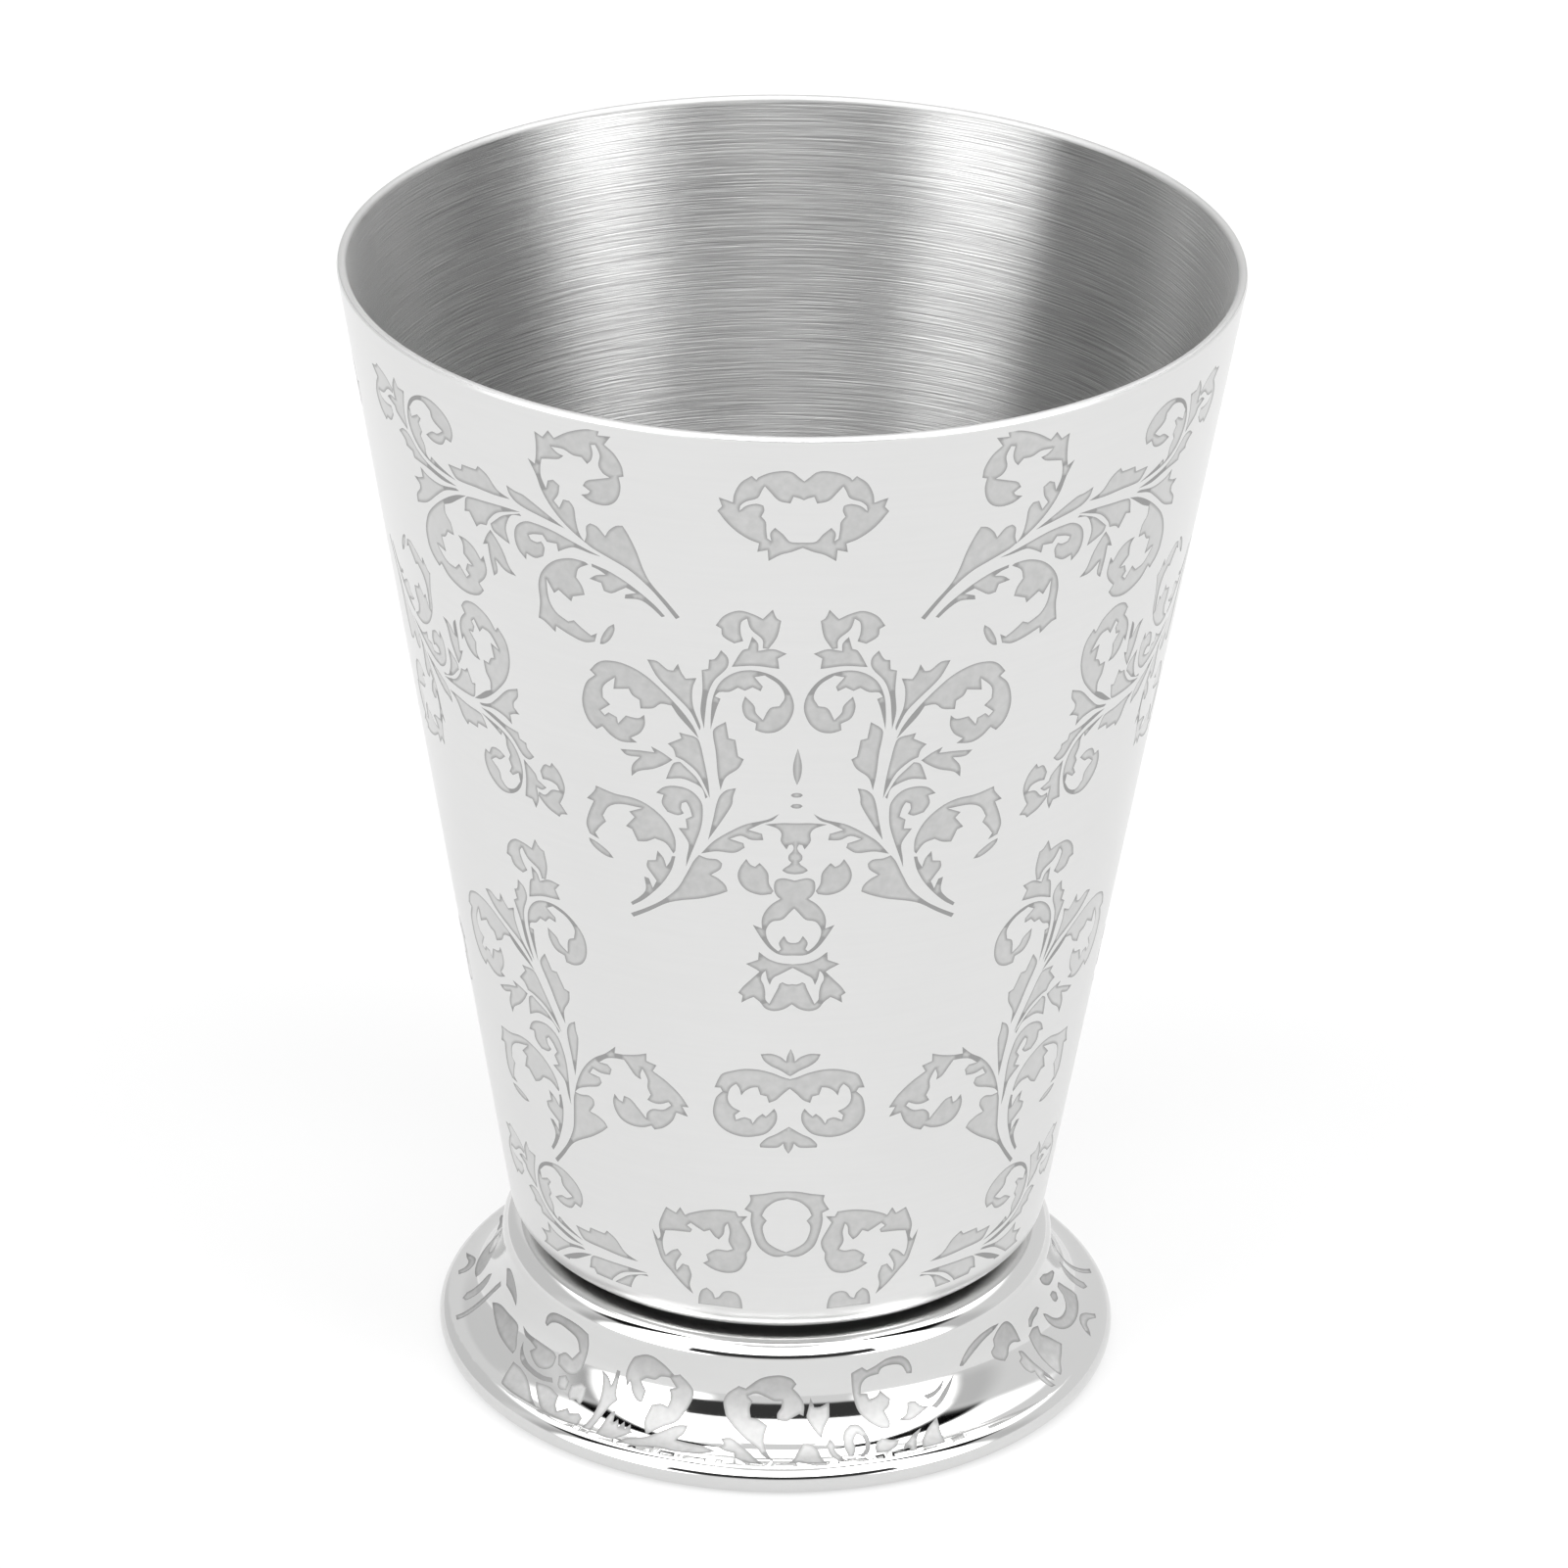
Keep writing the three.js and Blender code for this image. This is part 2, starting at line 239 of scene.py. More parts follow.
# Foot ornament: degrees from the front, and millimetres down the flare from the top of the shoulder.
footOutlines = {
    "leftScroll": [
        (-28.2, 3.2), (-25, 3.75), (-22.4, 4.7), (-21.2, 4.5), (-19, 5.35), (-18, 6.1), (-18.4, 7.1),
        (-19.3, 8.1), (-20.5, 9.2), (-23, 10), (-25.6, 11.1), (-26.9, 9.8), (-26.3, 8.1), (-24.4, 7.75),
        (-23, 7.9), (-22.7, 7), (-23.2, 6.2), (-21.8, 5.9), (-23.3, 5.05), (-25.2, 5.15), (-26.4, 5.6),
        (-28.4, 5.7), (-29.4, 6.1), (-28, 6.9), (-28.3, 8.1), (-29.4, 8.15), (-31, 7.4), (-31.8, 6.5),
        (-32.4, 7.1), (-33, 6.1), (-32.9, 5.3), (-32.1, 4.3), (-31.4, 3.8),
    ],
    "forkedLeaf": [
        (-38.6, 6.4), (-36.9, 6.7), (-35.8, 7.4), (-35.2, 5.8), (-34.4, 5.8), (-34.2, 8), (-33.4, 8.6),
        (-34.8, 9.7), (-35.4, 11), (-35.6, 12.6), (-37.4, 12.6), (-37.1, 10), (-37.6, 8),
    ],
    "spikyLeaf": [
        (-34.1, 10.3), (-33.2, 9.6), (-32.6, 10.9), (-31.9, 10.4), (-31.2, 11.1), (-30.6, 10.4),
        (-29.9, 11.1), (-29.2, 10.5), (-28.6, 11.2), (-27.8, 11.1), (-29.4, 11.9), (-31.2, 12.75),
        (-34.3, 12.75), (-34.4, 11.5),
    ],
    "leftLowLeaf": [
        (-25.4, 11.3), (-22.8, 10.3), (-20.4, 9.5), (-18.2, 9.3), (-18.6, 10.2), (-19.8, 11),
        (-17.5, 11.1), (-14.4, 11.2), (-12.2, 11.6), (-14.6, 12.1), (-19.5, 12.4), (-22.6, 12.3),
        (-26.5, 12.8), (-30, 12.9), (-28.5, 12),
    ],
    "centreScroll": [
        (-0.9, 3.55), (-4.5, 3.9), (-7.6, 5.05), (-9, 4.85), (-11.2, 5.7), (-11.9, 6.5), (-11.6, 7.3),
        (-11, 8.1), (-9.6, 8.9), (-7.1, 10.05), (-5, 10.8), (-3.6, 11.8), (-1.6, 12.5), (-3.1, 11.2),
        (-3.6, 9.9), (-3, 8.6), (-4.5, 8.1), (-6.3, 7.9), (-6.6, 7), (-6.1, 6.3), (-7.1, 5.8),
        (-5.5, 5.5), (-3.4, 5.85), (-1.9, 6.2), (-0.3, 6.2), (-0.5, 6.9), (-1.2, 7.4), (-1.2, 8.1),
        (0.8, 8.2), (1.6, 7.9), (3.1, 7.5), (3.9, 7.7), (4.1, 6.6), (3.1, 5.6), (1.9, 4.95), (2.6, 4.5),
        (1.6, 3.9),
    ],
    "centreTailLeaf": [
        (-11.6, 10.2), (-9.8, 10), (-7.8, 10.7), (-5.8, 11.6), (-4.4, 12.4), (-3.4, 12.9),
        (-6.4, 12.7), (-8.6, 12.2), (-8.9, 11.6), (-10.8, 11.4), (-11.8, 11.1), (-10.9, 10.8),
    ],
    "spadeBud": [
        (4.9, 7), (5.4, 5.9), (6.1, 6.9), (7.3, 6.9), (9.1, 6.4), (8.9, 8), (7.9, 8.9), (7.1, 10),
        (5.7, 9.1), (4.5, 7.9),
    ],
    "centreLowLeaf": [
        (0.4, 12.9), (1.6, 12.2), (2.6, 11.2), (3.6, 10.4), (5, 10.5), (6.2, 11.1), (6.6, 12),
        (7.4, 12.9), (4.6, 12.8), (2.4, 12.5),
    ],
    "centreFrond": [
        (7.8, 10.7), (8.6, 10.1), (9.4, 10.6), (9.3, 11.3), (10, 12), (10.8, 12.7), (9.3, 12.6),
        (8.3, 11.8),
    ],
    "curl": [
        (11.4, 12.1), (11, 10.8), (11.5, 9.5), (12.8, 8.9), (14.4, 9), (15.6, 9.8), (16, 10.9),
        (15.2, 12), (13.9, 12.5), (12.9, 12.2), (14.2, 11.9), (15, 11.1), (14.7, 10.2), (13.8, 9.9),
        (13.1, 10.5), (13, 11.5), (12.2, 12.3),
    ],
    "rightScroll": [
        (13.8, 3.8), (14, 6), (14.8, 7.7), (16.6, 8.9), (18.6, 9.7), (20.2, 9.9), (20.8, 9.3),
        (20.1, 8.1), (21.2, 7.7), (21.7, 7), (20.9, 6.6), (19.7, 6), (18.7, 6.5), (17.3, 6.7),
        (17, 6.1), (15.6, 6), (15.9, 5.1), (17.1, 4.5), (19.6, 4.3), (20.2, 3.8), (22, 3.6),
        (24.6, 3.9), (25.8, 4.9), (26.9, 5), (27, 4.4), (26.2, 3.5), (24.5, 2.85), (21.5, 2.8),
        (18.8, 3.4), (17.1, 3.7), (16.1, 3.3), (15, 3.5),
    ],
    "smallLeaf": [
        (24.6, 8.5), (25, 7.7), (26.8, 7.8), (27.6, 8.3), (29.4, 8.7), (27.5, 9.1), (25.5, 9.5),
        (23.8, 9.5), (22.4, 9.2), (24, 8.9),
    ],
    "leafTail": [
        (29.8, 8.75), (31.6, 8.3), (33.8, 7.5), (36.6, 6.5), (35.2, 7.5), (33, 8.5), (30.9, 9.1),
    ],
    "leafTailUpper": [
        (28.7, 7.5), (31, 7.4), (32.8, 7), (34.4, 6.4), (33, 7.4), (31, 7.9), (29.5, 8),
    ],
    "rightLowLeaf": [
        (30.3, 9.9), (27.7, 10.7), (25.7, 11.7), (24.7, 12.9), (29.2, 12.9), (29.6, 11.8),
    ],
    "rightLowFrond": [
        (26.4, 10.5), (24.2, 11), (22.2, 11.8), (21.2, 12.5), (22.7, 12.3), (22.3, 12.9), (23.6, 12.9),
        (24.5, 11.7),
    ],
    "lobedLeaf": [
        (16.4, 12.2), (16.9, 11.2), (18.4, 10.6), (19.8, 11), (21.6, 11.2), (20, 12), (18.4, 12.3),
    ],
    "rightArc": [
        (38.4, 5.9), (39.8, 5.1), (42, 4.3), (45, 3.75), (48.5, 3.6), (51, 3.75), (49, 4.15), (46, 4.5),
        (43.5, 5), (41, 5.6), (39.2, 6.05),
    ],
    "sideStem": [
        (54.2, 8.6), (55.2, 8.4), (55.2, 7.7), (56.4, 8), (57.4, 9.2), (58.2, 10.4), (58.5, 11.6),
        (58, 12.4), (57.5, 11.2), (56.9, 12.85), (55.9, 12.7), (55.9, 11.4), (56.3, 10.4), (55.2, 10.2),
        (54.4, 9.4),
    ],
    "sideLeafA": [
        (60.1, 7.2), (62.3, 6.9), (64.6, 7.2), (64.4, 8.1), (66, 8.8), (67.2, 9.6), (68.2, 10.5),
        (66, 11), (63.6, 11.5), (61.4, 12.2), (60.2, 12.4), (60.4, 10.8), (60.2, 9.2),
    ],
    "sideLeafB": [
        (61.2, 6.5), (61.8, 5.8), (64, 5.5), (66.2, 5.5), (67.4, 5.9), (65.6, 6.2), (63.6, 6.3),
        (62.2, 6.7),
    ],
    "sideLeafC": [
        (68.2, 6.8), (69.6, 7.2), (71.6, 8.2), (74, 8.9), (77, 9.2), (80, 9), (81.4, 8.4), (80.8, 7.2),
        (82.6, 7.2), (85, 8.4), (86.8, 9.8), (86.6, 10.4), (84, 10.7), (80, 10.8), (76, 10.6),
        (72.6, 10), (70.2, 9), (68.8, 8),
    ],
    "sideLeafD": [
        (75, 12.75), (76.6, 11.8), (78.4, 11.2), (80.6, 11.1), (82.2, 11.6), (83, 12.6), (81.6, 12.75),
        (80.4, 12.1), (78.6, 12), (77, 12.4),
    ],
    "sideLeafE": [
        (70, 3.3), (72.6, 3.5), (75.6, 4.2), (79, 4.9), (81.6, 5.5), (82.4, 6), (79, 5.9), (76, 5.6),
        (73.6, 5), (71.4, 4.2),
    ],
    "leftArc": [
        (-56.6, 4.9), (-56.2, 4), (-54, 3.2), (-50, 2.9), (-46, 3), (-43.4, 3.4), (-43, 4.6),
        (-43.2, 6.2), (-44, 7.6), (-46, 8.2), (-49.6, 7.9), (-50.4, 7), (-48.8, 6.4), (-46.6, 6.6),
        (-45.2, 5.6), (-46.4, 4.5), (-49, 4.1), (-52, 4), (-54.4, 4.4), (-55.8, 5.1),
    ],
    "leftStemLeaf": [
        (-63.6, 6.9), (-61, 7.1), (-57, 7), (-52, 7), (-50.8, 7.3), (-50.8, 8.3), (-52, 8.9),
        (-54, 9.2), (-56.6, 8.9), (-58.4, 8.4), (-57.2, 7.8), (-59.5, 7.6), (-61.8, 7.5),
    ],
    "leftBroadLeaf": [
        (-60.6, 10.3), (-58, 10.3), (-55.4, 10.6), (-53, 11.2), (-50, 12.2), (-47.8, 12.8),
        (-57.6, 12.85), (-59.2, 12), (-60, 11.2),
    ],
    "leftFernLeaf": [
        (-52.4, 10.5), (-49, 10.2), (-46, 10.5), (-45.2, 11.4), (-44, 12), (-42.6, 11.2), (-41.4, 11.6),
        (-39.8, 11.2), (-38.6, 11.6), (-38.4, 12.6), (-41, 12.8), (-44.4, 12.85), (-46.6, 12.7),
        (-48.6, 12.1), (-51, 11.2),
    ],
    "farLeafA": [
        (-78.8, 8.5), (-76.6, 7.9), (-74, 7.5), (-70, 7.3), (-66.6, 7.2), (-65, 7.4), (-63.8, 8.3),
        (-62.2, 9.2), (-62.2, 9.8), (-66, 9.7), (-70, 9.5), (-74.5, 9),
    ],
    "farLeafB": [
        (-78, 4.2), (-75, 3.6), (-72, 4), (-69.5, 5), (-68.6, 6), (-72, 5.6), (-76, 5.6),
    ],
    "rightBody": [
        (50.5, 4.3), (53, 4), (55, 4.6), (56.4, 5.8), (57, 7), (56, 6.9), (54.6, 6.6), (53, 6.7),
        (51.8, 7.4), (50.4, 7.7), (49, 7.3), (47.6, 6.7), (47.4, 6.1), (48.6, 5.7), (48.6, 5),
    ],
    "sideLeafF": [
        (74.6, 6.4), (76.6, 6.5), (78.6, 7.2), (78, 7.8), (76, 7.6), (75, 7.1),
    ],
    "leftStem": [
        (-61.4, 8.1), (-60.4, 8.7), (-58.4, 9.25), (-56, 9.55), (-52, 9.6), (-49.6, 9.3), (-48.8, 9.7),
        (-52, 10.1), (-56, 10.05), (-59.2, 9.75), (-61, 8.9),
    ],
    "fernTip": [
        (-44.6, 9), (-42.4, 8.4), (-41, 8.6), (-40.6, 9.8), (-40.8, 10.5), (-42, 10.1), (-43.4, 10.4),
        (-44.4, 9.9),
    ],
    "fernBud": [
        (-48.2, 8.8), (-46.8, 8.4), (-45.4, 8.8), (-45.2, 9.7), (-46.4, 9.9), (-47.6, 9.6),
    ],
    "farStem": [
        (-82.6, 12.8), (-83.4, 11), (-83.4, 9.4), (-82, 7.6), (-79.8, 6.2), (-78.8, 6.5), (-81, 8.2),
        (-81.8, 10), (-81.5, 11.6), (-81, 12.8),
    ],
    "farLeafD": [
        (-89.4, 8.6), (-87.6, 7.6), (-86.6, 8.4), (-86.4, 10), (-86.8, 11.6), (-88, 11.9),
        (-89.4, 11.4),
    ],
}

etching = {
    "depth": 0.05,
    "edgeWidth": 0.34,  # of the slope down to the etched floor
    "edgeShare": 0.8,  # how much of that width a narrow leaf keeps free
    "edgeClear": 0.7,  # the same, where other outlines are near
    "step": 0.32,  # between points of an outline
    "grid": 1.5,  # between points of the plain wall
    "rowPitch": 0.87,  # of the grid, for even triangles
    "firstRow": 0.7,
    "lastRow": 0.5,
    "gridClear": 0.42,  # from an outline to the next point of the grid
    "cornerTurn": math.radians(48),  # sharper turns stay corners
    "rimGap": 0.3,  # plain strip at the wall's top
    "cornerGap": 0.15,
    "cutStagger": 0.02,  # keeps the cut ends of outlines from meeting
}


def arcPoints(centreX, centreZ, radiusX, radiusZ, start, end, count):
    points = []
    for step in range(count + 1):
        angle = start + (end - start) * step / count
        points.append((centreX + radiusX * math.cos(angle), centreZ + radiusZ * math.sin(angle)))
    return points


# Straight run between two points with a support loop close to each end, so the shading stays flat.
def straightRun(start, end, spacing=6.0, support=0.25):
    length = math.dist(start, end)
    def along(distance):
        part = distance / length
        return (start[0] + (end[0] - start[0]) * part, start[1] + (end[1] - start[1]) * part)
    if length < 4 * support:
        return []
    count = max(1, round(length / spacing))
    return [along(support + (length - 2 * support) * step / count) for step in range(count + 1)]


# Outline work

def smoothOutline(points, step, onAxis=False):
    count = len(points)
    def turning(index):
        ax, ay = points[index - 1]
        bx, by = points[index]
        cx, cy = points[(index + 1) % count]
        first = math.atan2(by - ay, bx - ax)
        second = math.atan2(cy - by, cx - bx)
        return abs((second - first + math.pi) % (2 * math.pi) - math.pi)
    def isAxis(index):
        return onAxis and abs(points[index % count][0]) < 1e-6
    corner = [turning(i) > etching["cornerTurn"] or isAxis(i) for i in range(count)]
    smooth = []
    for i in range(count):
        p0, p1 = Vector(points[i - 1]), Vector(points[i])
        p2, p3 = Vector(points[(i + 1) % count]), Vector(points[(i + 2) % count])
        chord = (p2 - p1).length
        axisRun = isAxis(i) and isAxis(i + 1)
        leave = (p2 - p1) if corner[i] or axisRun else (p2 - p0).normalized() * chord
        arrive = (p2 - p1) if corner[(i + 1) % count] or axisRun else (p3 - p1).normalized() * chord
        pieces = max(1, math.ceil(chord / step))
        for k in range(pieces):  # a cubic from this point to the next
            t = k / pieces
            h1 = 2 * t ** 3 - 3 * t ** 2 + 1
            h2 = t ** 3 - 2 * t ** 2 + t
            h3 = -2 * t ** 3 + 3 * t ** 2
            h4 = t ** 3 - t ** 2
            point = p1 * h1 + leave * h2 + p2 * h3 + arrive * h4
            x = 0.0 if axisRun else (max(point.x, 0.0) if onAxis else point.x)
            smooth.append((x, point.y, axisRun and k > 0))
    return smooth


def insideOutline(x, y, outline):
    inside = False
    last = outline[-1]
    for point in outline:
        if (point[1] > y) != (last[1] > y):
            if x < (last[0] - point[0]) * (y - point[1]) / (last[1] - point[1]) + point[0]:
                inside = not inside
        last = point
    return inside


def anticlockwise(outline):
    area = sum(a[0] * b[1] - b[0] * a[1] for a, b in zip(outline, outline[1:] + outline[:1]))
    return list(outline) if area > 0 else list(reversed(outline))


# Cuts off what lies nearer than the limit, measured by the given distance function.
def clipOutline(outline, distance, limit):
    kept = []
    for here, after in zip(outline, outline[1:] + outline[:1]):
        d1, d2 = distance(here) - limit, distance(after) - limit
        if d1 >= 0:
            kept.append(here)
        if d1 * d2 < 0:
            part = d1 / (d1 - d2)
            kept.append((here[0] + (after[0] - here[0]) * part, here[1] + (after[1] - here[1]) * part, False))
    return kept


# Points just inside an outline, where the etched slope ends.
def insetPoints(outline, width):
    tree = KDTree(len(outline))
    for index, point in enumerate(outline):
        tree.insert((point[0], point[1], 0.0), index)
    tree.balance()
    found = []
    count = len(outline)
    for i in range(count):
        before, here, after = outline[i - 1], outline[i], outline[(i + 1) % count]
        direction = Vector((after[0] - before[0], after[1] - before[1]))
        if direction.length < 1e-6 or here[2]:
            continue
        direction.normalize()
        x = here[0] - direction.y * width
        y = here[1] + direction.x * width
        if tree.find((x, y, 0.0))[2] > width * etching["edgeShare"] and insideOutline(x, y, outline):
            found.append((x, y))
    return found


# Every other row of the grid is set over by half a step.
def setOver(row):
    return 0.25 if row % 2 else 0.75


# Triangulates a flat panel: its edge, the outlines cut into it and points spread over the rest.
# Returns points, triangles, which triangles are etched, and each point's depth and share of the painted shade
# along the etched edges.
def etchedPanel(border, seams, outlines, spread):
    outlines = [anticlockwise(outline) for outline in outlines]
    points = [Vector(p) for p in border]
    edges = [(i, (i + 1) % len(border)) for i in range(len(border))]
    axisPoints = set()
    samples = []
    for outline in outlines:
        start, count = len(points), len(outline)
        for x, y, onAxis in outline:
            if onAxis:
                axisPoints.add(len(points))
            points.append(Vector((x, y)))
            samples.append((x, y))
        edges.extend((start + i, start + (i + 1) % count) for i in range(count))
    outlineEnd = len(points)
    tree = KDTree(len(samples) + len(border))
    for index, (x, y) in enumerate(samples + list(border)):
        tree.insert((x, y, 0.0), index)
    tree.balance()
    for outline in outlines:
        for x, y in insetPoints(outline, etching["edgeWidth"]):
            if tree.find((x, y, 0.0))[2] > etching["edgeWidth"] * etching["edgeClear"]:
                points.append(Vector((x, y)))
    for x, y in spread:
        if tree.find((x, y, 0.0))[2] > etching["gridClear"]:
            points.append(Vector((x, y)))
    flat, _, allTriangles, fromPoints, _, _ = delaunay_2d_cdt(points, edges, [], 0, 1e-5)
    boxes = []
    for outline in outlines:
        xs = [p[0] for p in outline]
        ys = [p[1] for p in outline]
        boxes.append((min(xs), max(xs), min(ys), max(ys), outline))
    onBorder = [any(i < len(border) for i in origin) for origin in fromPoints]
    triangles, etched = [], []

    def onSeam(point):
        return any(abs((Vector(end) - Vector(start)).normalized().cross(point - Vector(start))) < 1e-3
                   for start, end in seams)

    for triangle in allTriangles:
        x = sum(flat[i].x for i in triangle) / 3
        y = sum(flat[i].y for i in triangle) / 3
        a, b, c = (flat[i] for i in triangle)
        if all(onBorder[i] for i in triangle) or all(onSeam(p) for p in (a, b, c)):
            continue
        triangles.append(triangle)
        etched.append(any(box[0] < x < box[1] and box[2] < y < box[3] and insideOutline(x, y, box[4])
                          for box in boxes))
    onEdge = []
    for origin in fromPoints:
        if not origin:
            onEdge.append(True)
        else:
            onEdge.append(any(len(border) <= i < outlineEnd and i not in axisPoints for i in origin))
    inEtched = [False] * len(flat)
    inPlain = [False] * len(flat)
    for triangle, isEtched in zip(triangles, etched):
        for corner in triangle:
            if isEtched:
                inEtched[corner] = True
            else:
                inPlain[corner] = True
    print("panel triangles", len(triangles), "etched", sum(etched))
    depth = [0.0 if paintedEdgeShade or plain or not deep else etching["depth"]
             for paintedEdgeShade, plain, deep in zip(onEdge, inPlain, inEtched)]
    # Points on the outlines carry the full painted shade of the etched edges; the other points carry none.
    paintedEdgeShade = [1.0 if flag else 0.0 for flag in onEdge]
    return flat, triangles, etched, depth, paintedEdgeShade


# Geometry node trees

def linkNodes(tree, links):
    for start, end in links:
        tree.links.new(start, end)


def addSockets(tree, direction, sockets):
    for name, kind in sockets.items():
        tree.interface.new_socket(name, in_out=direction, socket_type="NodeSocket" + kind)


def mathNode(tree, operation, first, second=None):
    node = tree.nodes.new("ShaderNodeMath")
    node.operation = operation
    for socket, value in zip(node.inputs, (first, second)):
        if value is None:
            continue
        if isinstance(value, (int, float)):
            socket.default_value = value
        else:
            tree.links.new(value, socket)
    return node.outputs[0]


# Position on the turned surface from a radius, a height and an angle measured from the front.
def turnedPosition(tree, radius, height, angle):
    combine = tree.nodes.new("ShaderNodeCombineXYZ")
    sideways = mathNode(tree, "MULTIPLY", radius, mathNode(tree, "SINE", angle))
    forward = mathNode(tree, "MULTIPLY", radius, mathNode(tree, "COSINE", angle))
    tree.links.new(sideways, combine.inputs[0])
    tree.links.new(mathNode(tree, "MULTIPLY", forward, -1.0), combine.inputs[1])
    tree.links.new(height, combine.inputs[2])
    return combine.outputs[0]


# Turns a profile of points about the axis.
def makeTurnedShellTree():
    tree = bpy.data.node_groups.new("turnedShell", "GeometryNodeTree")
    addSockets(tree, "INPUT", {"Profile": "Geometry", "Segments": "Int", "Finish": "Material"})
    addSockets(tree, "OUTPUT", {"Shell": "Geometry"})
    nodes = tree.nodes
    groupIn = nodes.new("NodeGroupInput")
    groupOut = nodes.new("NodeGroupOutput")
    size = nodes.new("GeometryNodeAttributeDomainSize")
    columns = mathNode(tree, "ADD", groupIn.outputs["Segments"], 1.0)
    grid = nodes.new("GeometryNodeMeshGrid")
    index = nodes.new("GeometryNodeInputIndex")
    rowMiddle = mathNode(tree, "ADD", index.outputs[0], 0.5)
    row = mathNode(tree, "FLOOR", mathNode(tree, "DIVIDE", rowMiddle, columns))
    column = mathNode(tree, "SUBTRACT", index.outputs[0], mathNode(tree, "MULTIPLY", row, columns))
    fullTurns = mathNode(tree, "MULTIPLY", column, 2 * math.pi)
    turn = mathNode(tree, "DIVIDE", fullTurns, groupIn.outputs["Segments"])
    position = nodes.new("GeometryNodeInputPosition")
    sample = nodes.new("GeometryNodeSampleIndex")
    sample.data_type = "FLOAT_VECTOR"
    split = nodes.new("ShaderNodeSeparateXYZ")
    place = nodes.new("GeometryNodeSetPosition")
    merge = nodes.new("GeometryNodeMergeByDistance")
    merge.inputs["Distance"].default_value = mergeDistance
    realize = nodes.new("GeometryNodeRealizeInstances")
    finish = nodes.new("GeometryNodeSetMaterial")
    linkNodes(tree, [
        (groupIn.outputs["Profile"], size.inputs[0]),
        (size.outputs["Point Count"], grid.inputs["Vertices X"]),
        (columns, grid.inputs["Vertices Y"]),
        (groupIn.outputs["Profile"], sample.inputs["Geometry"]),
        (position.outputs[0], sample.inputs["Value"]),
        (row, sample.inputs["Index"]),
        (sample.outputs["Value"], split.inputs[0]),
        (grid.outputs["Mesh"], place.inputs["Geometry"]),
        (turnedPosition(tree, split.outputs[0], split.outputs[2], turn), place.inputs["Position"]),
        (place.outputs[0], merge.inputs["Geometry"]),
        (merge.outputs[0], realize.inputs[0]),
        (realize.outputs[0], finish.inputs["Geometry"]),
        (groupIn.outputs["Finish"], finish.inputs["Material"]),
        (finish.outputs[0], groupOut.inputs[0]),
    ])
    return tree


